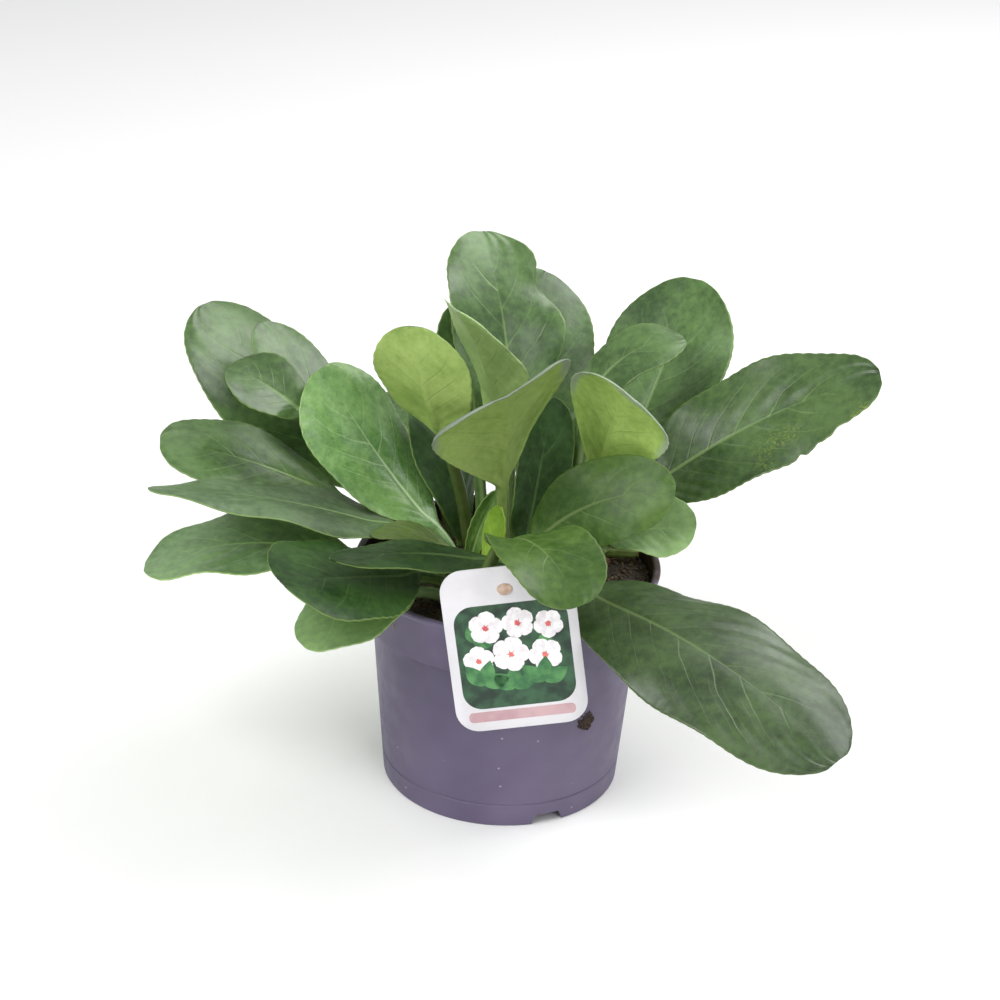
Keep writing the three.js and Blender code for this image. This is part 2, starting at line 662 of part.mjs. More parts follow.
// Ball of soil filling the pot, its top uneven and a little higher in the middle
function soilSolid() {
  const random = seededRandom(SOIL_SEED);
  const ring = (radius, height) =>
    Array.from({ length: SOIL_SEGMENTS }, (_, i) => {
      const angle = (2 * Math.PI * i) / SOIL_SEGMENTS;
      return [radius * Math.cos(angle), radius * Math.sin(angle), height()];
    });
  const rings = soilSide().map(([radius, height]) => ring(radius, () => height));
  const edge = soilSide()[3][0];
  for (let i = 1; i < SOIL_RINGS; i++) {
    const share = 1 - i / SOIL_RINGS;
    const dome = SOIL_EDGE + SOIL_DOME * (1 - share * share);
    const height = () => dome + (random() - 0.5) * SOIL_ROUGHNESS;
    rings.push(ring(edge * share, height));
  }
  return solidOf(closeRings(rings));
}

// Knobbly upright end of a rootstock, sunk into the soil
function crownSolid(crown, margin = 0) {
  const random = seededRandom(crown.seed);
  const profile = [
    [0.78, -CROWN_DEPTH],
    [1, -CROWN_DEPTH / 2],
    [1.04, 0],
    [0.86, crown.rise * 0.7],
    [0.42, crown.rise],
  ];
  const rings = profile.map(([share, height], row) => {
    const end = row === 0 ? -margin : row === profile.length - 1 ? margin : 0;
    return Array.from({ length: CROWN_SIDES }, (_, i) => {
      const angle = (2 * Math.PI * i) / CROWN_SIDES;
      const lump = 1 + (random() - 0.5) * CROWN_LUMPS;
      const radius = crown.radius * share * lump + margin;
      return [
        crown.at[0] + radius * Math.cos(angle),
        crown.at[1] + radius * Math.sin(angle),
        SOIL_EDGE + height + end,
      ];
    });
  });
  return solidOf(closeRings(rings));
}

// Keeps the main body and lets go of crumbs a cut has left loose
function mainBody(solid) {
  const bodies = solid.decompose();
  return bodies.reduce((best, body) => (body.volume() > best.volume() ? body : best));
}

// Old petiole end lying on the soil beside the right crown
function stubGeometry(margin = 0) {
  const start = new THREE.Vector3(...STUB_START);
  const end = new THREE.Vector3(...STUB_END);
  const along = end.clone().sub(start).normalize();
  const side = new THREE.Vector3().crossVectors(along, new THREE.Vector3(0, 0, 1)).normalize();
  const up = new THREE.Vector3().crossVectors(side, along);
  const ends = [start, start.clone().lerp(end, 0.5), end];
  const swell = [0.9, 1, 0.86];
  const rings = ends.map((middle, row) =>
    Array.from({ length: STUB_SIDES }, (_, i) => {
      const angle = (2 * Math.PI * i) / STUB_SIDES;
      const radius = STUB_RADIUS * swell[row] + margin;
      const point = middle.clone().addScaledVector(along, (row - 1) * margin);
      point.addScaledVector(up, radius * Math.cos(angle));
      point.addScaledVector(side, radius * Math.sin(angle));
      return point.toArray();
    }),
  );
  return closeRings(rings);
}

function roundedCard() {
  const x = CARD_WIDTH / 2;
  const y = CARD_HEIGHT / 2;
  const r = CARD_CORNER;
  const shape = new THREE.Shape();
  shape.moveTo(-x + r, -y);
  shape.lineTo(x - r, -y);
  shape.absarc(x - r, -y + r, r, -90 * degrees, 0, false);
  shape.lineTo(x, y - r);
  shape.absarc(x - r, y - r, r, 0, 90 * degrees, false);
  shape.lineTo(-x + r, y);
  shape.absarc(-x + r, y - r, r, 90 * degrees, 180 * degrees, false);
  shape.lineTo(-x, -y + r);
  shape.absarc(-x + r, -y + r, r, 180 * degrees, 270 * degrees, false);
  return shape;
}

// Moves a geometry from the card's own plane to its place against the rim
function placeOnPot(geometry) {
  const fall = (CARD_CENTRE_Z - POT_HEIGHT) / Math.cos(CARD_LEAN * degrees);
  geometry.rotateZ(CARD_TURN * degrees);
  geometry.translate(0, 0, -CARD_THICKNESS / 2);
  geometry.rotateX(90 * degrees);
  geometry.translate(0, 0, fall);
  geometry.rotateX(-CARD_LEAN * degrees);
  geometry.translate(CARD_CENTRE_X, CARD_MIDDLE_Y, POT_HEIGHT);
  return geometry;
}

// Oval head of the card's fixing, standing a little proud of the front
function buttonGeometry() {
  const shape = new THREE.Shape();
  shape.absellipse(BUTTON_X, BUTTON_Y, BUTTON_RADIUS_X, BUTTON_RADIUS_Y, 0, 2 * Math.PI);
  const depth = CARD_THICKNESS / 2 + BUTTON_HEIGHT;
  const options = { depth, bevelEnabled: false, curveSegments: 8 };
  return new THREE.ExtrudeGeometry(shape, options).translate(0, 0, CARD_THICKNESS / 2);
}

// Narrow tongue behind the card that bends over the rim down into the soil
function tongueGeometry() {
  const rings = TONGUE_PATH.map(([y, z], i) => {
    const before = TONGUE_PATH[Math.max(i - 1, 0)];
    const after = TONGUE_PATH[Math.min(i + 1, TONGUE_PATH.length - 1)];
    const run = Math.hypot(after[0] - before[0], after[1] - before[1]);
    const lean = [-(after[1] - before[1]) / run, (after[0] - before[0]) / run];
    const half = TONGUE_WIDTH / 2;
    const place = (side, depth) => [TONGUE_X + side, y + lean[0] * depth, z + lean[1] * depth];
    const deep = TONGUE_THICKNESS / 2;
    return [place(-half, deep), place(half, deep), place(half, -deep), place(-half, -deep)];
  });
  return closeRings(rings);
}

function cardSolid() {
  const options = { depth: CARD_THICKNESS, bevelEnabled: false, curveSegments: 5 };
  const plate = solidOf(placeOnPot(new THREE.ExtrudeGeometry(roundedCard(), options)));
  const button = solidOf(placeOnPot(buttonGeometry()));
  return plate.add(button).add(solidOf(tongueGeometry()));
}

function material(color, roughness) {
  return new THREE.MeshStandardMaterial({ color, roughness, metalness: 0 });
}

function addPiece(group, name, geometry, finish) {
  const mesh = new THREE.Mesh(geometry, finish);
  mesh.name = name;
  mesh.geometry.computeVertexNormals();
  group.add(mesh);
}

function addLeaves(group) {
  for (const [name, row] of Object.entries(LEAVES)) {
    const tone = LEAF_TONES[wholeLeaf(row).tone];
    addPiece(group, name, leafGeometry(row), material(tone.color, tone.roughness));
  }
}

// Soil and crowns, with a plain hole wherever something stands or lies in them
function addGround(group) {
  const sockets = Object.values(LEAVES).map(socketSolid);
  sockets.push(solidOf(stubGeometry(CLEARANCE)));
  let soil = soilSolid();
  for (const [name, crown] of Object.entries(CROWNS)) {
    let body = crownSolid(crown);
    sockets.forEach((socket) => {
      body = body.subtract(socket);
    });
    addPiece(group, name, geometryOf(mainBody(body)), material(CROWN_COLOR, 0.85));
    soil = soil.subtract(crownSolid(crown, CLEARANCE));
  }
  sockets.forEach((socket) => {
    soil = soil.subtract(socket);
  });
  soil = soil.subtract(tongueSocket());
  addPiece(group, "soil", geometryOf(mainBody(soil)), material(SOIL_COLOR, 0.95));
}

// Cutter for the tongue's slot: the tongue a clearance fatter all round
function tongueSocket() {
  const path = TONGUE_PATH.slice(-3);
  const half = TONGUE_WIDTH / 2 + CLEARANCE;
  const deep = TONGUE_THICKNESS / 2 + CLEARANCE;
  const rings = path.map(([y, z], i) => {
    const low = i === path.length - 1 ? -CLEARANCE : 0;
    return [
      [TONGUE_X - half, y + deep, z + low],
      [TONGUE_X + half, y + deep, z + low],
      [TONGUE_X + half, y - deep, z + low],
      [TONGUE_X - half, y - deep, z + low],
    ];
  });
  return solidOf(closeRings(rings));
}

function buildPlant() {
  const group = new THREE.Group();
  group.name = "potted_bergenia";
  addPiece(group, "pot", geometryOf(potSolid()), material(POT_COLOR, 0.5));
  addGround(group);
  addPiece(group, "plant_card", geometryOf(cardSolid()), material(CARD_COLOR, 0.45));
  addPiece(group, "petiole_stub", stubGeometry(), material(STUB_COLOR, 0.6));
  addLeaves(group);
  return group;
}

export default buildPlant();
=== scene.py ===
"""A potted bergenia: fine leaves, rootstocks, soil, nursery pot and plant card."""

import logging  # noqa: E402
import math  # noqa: E402
from dataclasses import dataclass, field  # noqa: E402
from enum import Enum  # noqa: E402

import bmesh  # noqa: E402
import bpy  # noqa: E402
import numpy as np  # noqa: E402
from mathutils import Matrix, Vector  # noqa: E402


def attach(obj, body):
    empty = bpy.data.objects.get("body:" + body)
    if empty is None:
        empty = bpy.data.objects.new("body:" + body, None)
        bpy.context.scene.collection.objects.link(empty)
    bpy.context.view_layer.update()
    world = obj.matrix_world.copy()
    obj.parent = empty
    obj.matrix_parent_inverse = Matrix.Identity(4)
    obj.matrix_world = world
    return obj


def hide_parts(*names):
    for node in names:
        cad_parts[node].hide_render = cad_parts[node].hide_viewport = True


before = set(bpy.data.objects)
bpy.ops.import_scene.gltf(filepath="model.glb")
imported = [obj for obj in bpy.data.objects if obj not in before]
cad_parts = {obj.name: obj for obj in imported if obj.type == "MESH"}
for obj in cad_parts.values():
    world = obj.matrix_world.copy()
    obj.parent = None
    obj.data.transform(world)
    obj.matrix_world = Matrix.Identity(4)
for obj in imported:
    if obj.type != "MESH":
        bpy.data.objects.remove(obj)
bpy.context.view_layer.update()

log = logging.getLogger("bergenia")

MM = 0.001
BODY = "root"
Colour = tuple[float, float, float]
Array = np.ndarray
Socket = bpy.types.NodeSocket
Piece = bpy.types.Object
Material = bpy.types.Material


def rgb(red: int, green: int, blue: int) -> Colour:
    """Turns a colour as the eye names it, 0 to 255, into linear light."""
    def linear(value: float) -> float:
        share = value / 255
        return share / 12.92 if share <= 0.04045 else ((share + 0.055) / 1.055) ** 2.4

    return linear(red), linear(green), linear(blue)


def smooth_step(low: float, high: float, value: Array) -> Array:
    """Eases from 0 at low to 1 at high."""
    u = np.clip((value - low) / (high - low), 0, 1)
    return u * u * (3 - 2 * u)


class Graph:
    """A shader or geometry tree built by calls that pass sockets on."""

    def __init__(self, tree: bpy.types.NodeTree) -> None:
        """Starts on an emptied tree.

        Args:
            tree: the tree to fill.
        """
        self.tree = tree
        tree.nodes.clear()

    def add(self, kind: str, inputs: dict | None = None, **settings: object) -> bpy.types.Node:
        """Adds a node, sets it up and feeds its inputs.

        Args:
            kind: the node type's name.
            inputs: sockets or values by input name or index.
            settings: properties of the node.

        Returns:
            The new node.
        """
        node = self.tree.nodes.new(kind)
        for key, value in settings.items():
            setattr(node, key, value)
        for key, value in (inputs or {}).items():
            self.feed(node.inputs[key], value)
        return node

    def feed(self, socket: Socket, value: object) -> None:
        """Links a socket, or sets a plain value.

        Args:
            socket: the input to feed.
            value: another node's output, a number, a vector or a colour.
        """
        if isinstance(value, Socket):
            self.tree.links.new(value, socket)
        elif isinstance(value, tuple) and len(value) == 3 and socket.type == "RGBA":
            socket.default_value = (*value, 1.0)
        else:
            socket.default_value = value

    def math(self, operation: str, first: object, second: object = 0.0) -> Socket:
        """One sum, product or the like of two numbers.

        Args:
            operation: the operation's name.
            first: the first number or socket.
            second: the second number or socket.

        Returns:
            The result's socket.
        """
        node = self.add("ShaderNodeMath", operation=operation)
        self.feed(node.inputs[0], first)
        self.feed(node.inputs[1], second)
        return node.outputs[0]

    def product(self, *factors: object) -> Socket:
        """Multiplies numbers one after the other.

        Args:
            factors: numbers or sockets.

        Returns:
            The product's socket.
        """
        result = factors[0]
        for factor in factors[1:]:
            result = self.math("MULTIPLY", result, factor)
        return result

    def span(self, value: object, low: float, high: float, start: float = 0.0, end: float = 1.0) -> Socket:
        """Eases a number from start to end while it runs from low to high.

        Args:
            value: the number's socket.
            low: where the change begins.
            high: where it ends.
            start: the result up to low.
            end: the result from high on.

        Returns:
            The result's socket.
        """
        node = self.add("ShaderNodeMapRange", interpolation_type="SMOOTHSTEP")
        for key, number in enumerate((value, low, high, start, end)):
            self.feed(node.inputs[key], number)
        return node.outputs[0]

    def mix(self, share: object, first: object, second: object) -> Socket:
        """Blends two colours.

        Args:
            share: how much of the second colour.
            first: the first colour or socket.
            second: the second colour or socket.

        Returns:
            The blended colour's socket.
        """
        node = self.add("ShaderNodeMix", data_type="RGBA")
        self.feed(node.inputs[0], share)
        self.feed(node.inputs[6], first)
        self.feed(node.inputs[7], second)
        return node.outputs[2]

    def noise(self, place: object, scale: float, detail: float = 3.0) -> Socket:
        """Soft noise between 0 and 1.

        Args:
            place: the coordinates' socket.
            scale: waves a unit.
            detail: octaves.

        Returns:
            The noise value's socket.
        """
        node = self.add("ShaderNodeTexNoise", {"Vector": place, "Scale": scale, "Detail": detail})
        return node.outputs["Fac"]

    def cells(self, place: object, scale: float, feature: str = "F1") -> Socket:
        """Distance to the nearest cell point, or to the cell's edge.

        Args:
            place: the coordinates' socket.
            scale: cells a unit.
            feature: F1 or DISTANCE_TO_EDGE.

        Returns:
            The distance's socket.
        """
        node = self.add("ShaderNodeTexVoronoi", {"Vector": place, "Scale": scale}, feature=feature)
        return node.outputs["Distance"]

    def object_place(self) -> Socket:
        """Coordinates in the piece's own space, in metres."""
        return self.add("ShaderNodeTexCoord").outputs["Object"]

    def uv(self, name: str) -> tuple[Socket, Socket]:
        """The two numbers of a UV map.

        Args:
            name: the map's name.

        Returns:
            The sockets of u and v.
        """
        node = self.add("ShaderNodeUVMap", uv_map=name)
        parts = self.add("ShaderNodeSeparateXYZ", {0: node.outputs[0]})
        return parts.outputs[0], parts.outputs[1]

    def bump(self, height: object, strength: float, distance: float) -> Socket:
        """Turns a height into a shading normal.

        Args:
            height: the height's socket.
            strength: share of the bump that shows.
            distance: metres that a height of 1 stands for.

        Returns:
            The normal's socket.
        """
        inputs = {"Height": height, "Strength": strength, "Distance": distance}
        return self.add("ShaderNodeBump", inputs).outputs[0]


def new_material(name: str) -> tuple[Material, Graph, bpy.types.Node]:
    """Starts a material with a principled surface.

    Args:
        name: the material's name.

    Returns:
        The material, its graph and its surface node.
    """
    material = bpy.data.materials.new(name)
    material.use_nodes = True
    graph = Graph(material.node_tree)
    surface = graph.add("ShaderNodeBsdfPrincipled")
    graph.add("ShaderNodeOutputMaterial", {"Surface": surface.outputs[0]})
    return material, graph, surface


LIGHT_VEIN = rgb(150, 180, 110)
LEAF_MARGIN = rgb(150, 178, 92)
# Painted sheen: the grey of a rolled rim's glossy face seen edge on; haze also greys whole leaves towards it.
RIM_SHEEN_GREY = rgb(132, 144, 128)


@dataclass(frozen=True)
class LeafFinish:
    """Colours and gloss of one kind of leaf blade, on either face; scales in waves a metre."""

    name: str
    low: Colour
    high: Colour
    vein: Colour
    margin: Colour
    vein_share: float = 0.5
    net_share: float = 0.15
    roughness: float = 0.42
    coat: float = 0.0
    mottling: float = 0.0
    mottle: Colour = rgb(150, 170, 60)
    vein_width: float = 0.35
    midrib_width: float = 1.5
    specular: float = 0.5
    midrib_share: float = 0.6
    midrib_end: float = 0.95
    margin_width: float = 0.009
    margin_share: float = 0.4
    cloud_scale: float = 28.0
    grain_scale: float = 260.0
    net_scale: float = 300.0
    mottle_scale: float = 40.0
    fleck_scale: float = 700.0
    wander: float = 0.3
    wander_scale: float = 60.0
    gap_scale: float = 45.0
    gloss_scale: float = 55.0
    pucker_scale: float = 210.0
    pore_scale: float = 900.0
    bump_share: float = 0.5
    bump_depth: float = 0.00022

    def colour(self, graph: Graph) -> Socket:
        """The blade's colour: mottling, net, veins, midrib, margin, painted rim sheen and painted light and
        shade.

        Args:
            graph: the material's graph.

        Returns:
            The colour's socket.
        """
        place = graph.object_place()
        clouds = graph.product(graph.noise(place, self.cloud_scale), 0.6)
        grain = graph.product(graph.noise(place, self.grain_scale, 4.0), 0.4)
        colour = graph.mix(graph.span(graph.math("ADD", clouds, grain), 0.3, 0.7), self.low, self.high)
        if self.mottling:
            colour = graph.mix(graph.product(self.flecks(graph), self.mottling), colour, self.mottle)
        veins, midrib = self.vein_masks(graph)
        edges = graph.cells(place, self.net_scale, "DISTANCE_TO_EDGE")
        colour = graph.mix(graph.span(edges, 0.0, 0.12, self.net_share, 0.0), colour, self.vein)
        colour = graph.mix(graph.product(veins, self.vein_share), colour, self.vein)
        colour = graph.mix(graph.product(midrib, self.midrib_share), colour, self.vein)
        _, rim = graph.uv("span")
        edge = graph.span(rim, 0.0, self.margin_width, self.margin_share, 0.0)
        colour = graph.mix(edge, colour, self.margin)
        shade, band = graph.uv("shade")
        # Painted sheen: band greys the rolled rim as the sheen of its glossy face; haze greys the whole
        # leaf's tone.
        colour = graph.mix(band, colour, RIM_SHEEN_GREY)
        # Painted light and shade: shade scales each leaf's brightness, partly its own tone, lighter for a
        # backlit leaf and darker for a shaded one.
        return graph.add("ShaderNodeHueSaturation", {"Color": colour, "Value": shade}).outputs[0]

    def flecks(self, graph: Graph) -> Socket:
        """Share of fine flecks in patches, on the outer part of the blade's right half."""
        place = graph.object_place()
        patches = graph.span(graph.noise(place, self.mottle_scale, 4.0), 0.42, 0.62)
        specks = graph.span(graph.noise(place, self.fleck_scale), 0.5, 0.62)
        side, _ = graph.uv("span")
        _, along = graph.uv("vein")
        return graph.product(patches, specks, graph.span(side, 0.02, 0.2), graph.span(along, 0.35, 0.6))

    def vein_masks(self, graph: Graph) -> tuple[Socket, Socket]:
        """Where the side veins and the midrib run.

        Args:
            graph: the material's graph.

        Returns:
            The sockets of the side veins' and the midrib's share.
        """
        order, along = graph.uv("vein")
        off_rib, rim = graph.uv("span")
        off_rib = graph.math("ABSOLUTE", off_rib)
        place = graph.object_place()
        stray = graph.math("SUBTRACT", graph.noise(place, self.wander_scale, 1.0), 0.5)
        order = graph.math("ADD", order, graph.product(stray, self.wander))
        gaps = graph.span(graph.noise(place, self.gap_scale, 2.0), 0.3, 0.65, 0.25, 1.0)
        fade = graph.product(graph.span(rim, 0.02, 0.14), graph.span(along, 0.92, 0.7), gaps)
        lines = graph.product(self.side_veins(graph, order, off_rib), fade)
        twigs = graph.product(self.twigs(graph, order, off_rib), fade)
        veins = graph.product(graph.math("MAXIMUM", lines, twigs), graph.span(along, 0.0, 0.06))
        width = graph.span(along, 0.0, 1.0, self.midrib_width * 0.01, self.midrib_width * 0.002)
        near = graph.math("SUBTRACT", 1.0, graph.math("DIVIDE", off_rib, width))
        midrib = graph.product(graph.span(near, 0.0, 0.6), graph.span(along, self.midrib_end, 0.1))
        return veins, midrib

    def off_vein(self, graph: Graph, order: object) -> Socket:
        """How far a running vein number is from the next half, where a vein lies."""
        return graph.math("ABSOLUTE", graph.math("SUBTRACT", graph.math("FRACT", order), 0.5))

    def side_veins(self, graph: Graph, order: object, off_rib: object) -> Socket:
        """Share of the side veins by their running number, thinner away from the midrib."""
        width = graph.span(off_rib, 0.0, 0.25, self.vein_width * 0.2, self.vein_width * 0.09)
        line = graph.math("DIVIDE", self.off_vein(graph, order), width)
        return graph.span(graph.math("SUBTRACT", 1.0, line), 0.0, 1.0)

    def twigs(self, graph: Graph, order: object, off_rib: object) -> Socket:
        """Share of the fainter veins between the side veins, away from the midrib."""
        off_twig = self.off_vein(graph, graph.product(order, 2.0))
        twig = graph.span(off_twig, 0.0, self.vein_width * 0.25, 0.3, 0.0)
        return graph.product(twig, graph.span(off_rib, 0.06, 0.14))

    def build(self) -> Material:
        """Makes the material."""
        material, graph, surface = new_material(self.name)
        graph.feed(surface.inputs["Base Color"], self.colour(graph))
        place = graph.object_place()
        dull = graph.noise(place, self.gloss_scale, 4.0)
        gloss = graph.span(dull, 0.3, 0.7, self.roughness - 0.05, self.roughness + 0.09)
        graph.feed(surface.inputs["Roughness"], gloss)
        surface.inputs["Specular IOR Level"].default_value = self.specular
        surface.inputs["Coat Weight"].default_value = self.coat
        surface.inputs["Coat Roughness"].default_value = 0.3
        veins, midrib = self.vein_masks(graph)
        pores = graph.product(graph.noise(place, self.pore_scale), 0.25)
        puckers = graph.product(graph.noise(place, self.pucker_scale, 2.0), 0.8)
        sunk = graph.math("ADD", veins, graph.product(midrib, 1.2))
        height = graph.math("SUBTRACT", graph.math("ADD", pores, puckers), sunk)
        graph.feed(surface.inputs["Normal"], graph.bump(height, self.bump_share, self.bump_depth))
        return material


class LeafTone(Enum):
    """The kinds of upper leaf face, each with its finish and record slot."""

    GREEN = "leaf_green"
    # Painted shade: a darker copy of the green face for leaves that lie in the shade of others.
    DARK = "leaf_dark"
    GLOSSY = "leaf_glossy"
    LIGHT = "leaf_light"
    GREY = "leaf_grey"
    PALE = "leaf_underside"
    YOUNG = "leaf_young"
    MOTTLED = "leaf_mottled"

    def slot(self) -> str:
        """The record's material slot for this tone."""
        return "leaf_green" if self is LeafTone.MOTTLED else self.value


UPPER_FINISHES = {
    LeafTone.GREEN: LeafFinish(
        "leaf_green_upper", rgb(50, 76, 38), rgb(94, 128, 68), LIGHT_VEIN, LEAF_MARGIN,
        vein_share=0.24, net_share=0.04, roughness=0.36, coat=0.12,
    ),
    # Painted shade: darker greens for leaves that lie in the shade of others.
    LeafTone.DARK: LeafFinish(
        "leaf_dark_upper", rgb(30, 56, 24), rgb(64, 98, 46), rgb(112, 146, 84), LEAF_MARGIN,
        vein_share=0.26, net_share=0.04, roughness=0.4, specular=0.3,
    ),
    LeafTone.GLOSSY: LeafFinish(
        "leaf_glossy_upper", rgb(66, 104, 50), rgb(112, 148, 82), rgb(186, 206, 164), LEAF_MARGIN,
        vein_share=0.3, net_share=0.06, roughness=0.28, coat=0.3,
    ),
    LeafTone.LIGHT: LeafFinish(
        "leaf_light_upper", rgb(64, 100, 38), rgb(108, 144, 66), rgb(158, 182, 116), LEAF_MARGIN,
        vein_share=0.3, net_share=0.05, roughness=0.4, specular=0.3,
    ),
    LeafTone.GREY: LeafFinish(
        "leaf_grey_upper", rgb(60, 82, 52), rgb(96, 120, 82), LIGHT_VEIN, LEAF_MARGIN,
        vein_share=0.2, net_share=0.04, roughness=0.36,
    ),
    LeafTone.PALE: LeafFinish(
        "leaf_rolled_upper", rgb(88, 108, 72), rgb(122, 138, 102), LIGHT_VEIN, LEAF_MARGIN,
        vein_share=0.3, net_share=0.06, roughness=0.36,
    ),
    LeafTone.YOUNG: LeafFinish(
        "leaf_young_upper", rgb(104, 146, 34), rgb(146, 182, 62), rgb(180, 206, 110), rgb(150, 170, 70),
        vein_share=0.4, net_share=0.1, roughness=0.4,
    ),
    LeafTone.MOTTLED: LeafFinish(
        "leaf_mottled_upper", rgb(50, 78, 38), rgb(94, 126, 66), LIGHT_VEIN, LEAF_MARGIN,
        vein_share=0.26, net_share=0.04, roughness=0.36, mottling=0.6,
    ),
}

UNDER_FINISHES = {
    LeafTone.GREEN: LeafFinish(
        "leaf_under", rgb(100, 134, 64), rgb(138, 164, 90), rgb(84, 108, 58), rgb(160, 178, 112),
        vein_share=0.3, net_share=0.1, roughness=0.55, midrib_share=0.0,
    ),
    LeafTone.PALE: LeafFinish(
        "leaf_under_pale", rgb(120, 150, 68), rgb(156, 180, 98), rgb(96, 120, 58), rgb(158, 178, 108),
        vein_share=0.36, net_share=0.08, roughness=0.5, midrib_share=0.0,
    ),
}


@dataclass(frozen=True)
class Dent:
    """A place where the margin is drawn in, or waved up or down."""

    side: int
    at: float
    reach: float
    depth: float
    lift: float = 0.0


@dataclass(frozen=True)
class LeafShape:
    """One leaf: where it stands, how it grows and how its blade is formed, in mm and degrees.

    Its shade is the blade's brightness, partly the leaf's own tone and partly painted light and shade:
    lighter for a backlit leaf, darker for a shaded one. stalk_shade is the stalk's share of it, painted
    shade on a stalk among the dark middle leaves. band is the painted sheen of the rolled rim, in grey,
    and haze greys the whole leaf's tone.
    """

    name: str
    root: tuple[float, float]
    azimuth: float
    lift: float
    neck: float
    end: float
    petiole: float
    blade: float
    width: float
    turn: float = 0.0
    sway: float = 0.0
    curl: float = 1.0
    wide: float = 0.62
    tip: float = 0.5
    twist: float = 0.0
    fold: float = 8.0
    cup: tuple[float, float] = (0.0, 0.0)
    ruffle: float = 0.0
    waves: float = 2.0
    phase: float = 0.0
    stem: float = 3.0
    tone: LeafTone = LeafTone.GREEN
    veins: int = 8
    relief: float = 0.14
    tooth: float = 0.35
    roll: float = 0.0
    roll_from: float = 0.86
    shade: float = 1.0
    band: float = 0.0
    stalk_shade: float = 1.0
    haze: float = 0.0
    dents: tuple[Dent, ...] = ()


def heading(elevation: Array, azimuth: Array) -> Array:
    """Unit directions, one a row, at elevations and azimuths in radians."""
    level = np.cos(elevation)
    return np.stack([np.cos(azimuth) * level, np.sin(azimuth) * level, np.sin(elevation)], -1)


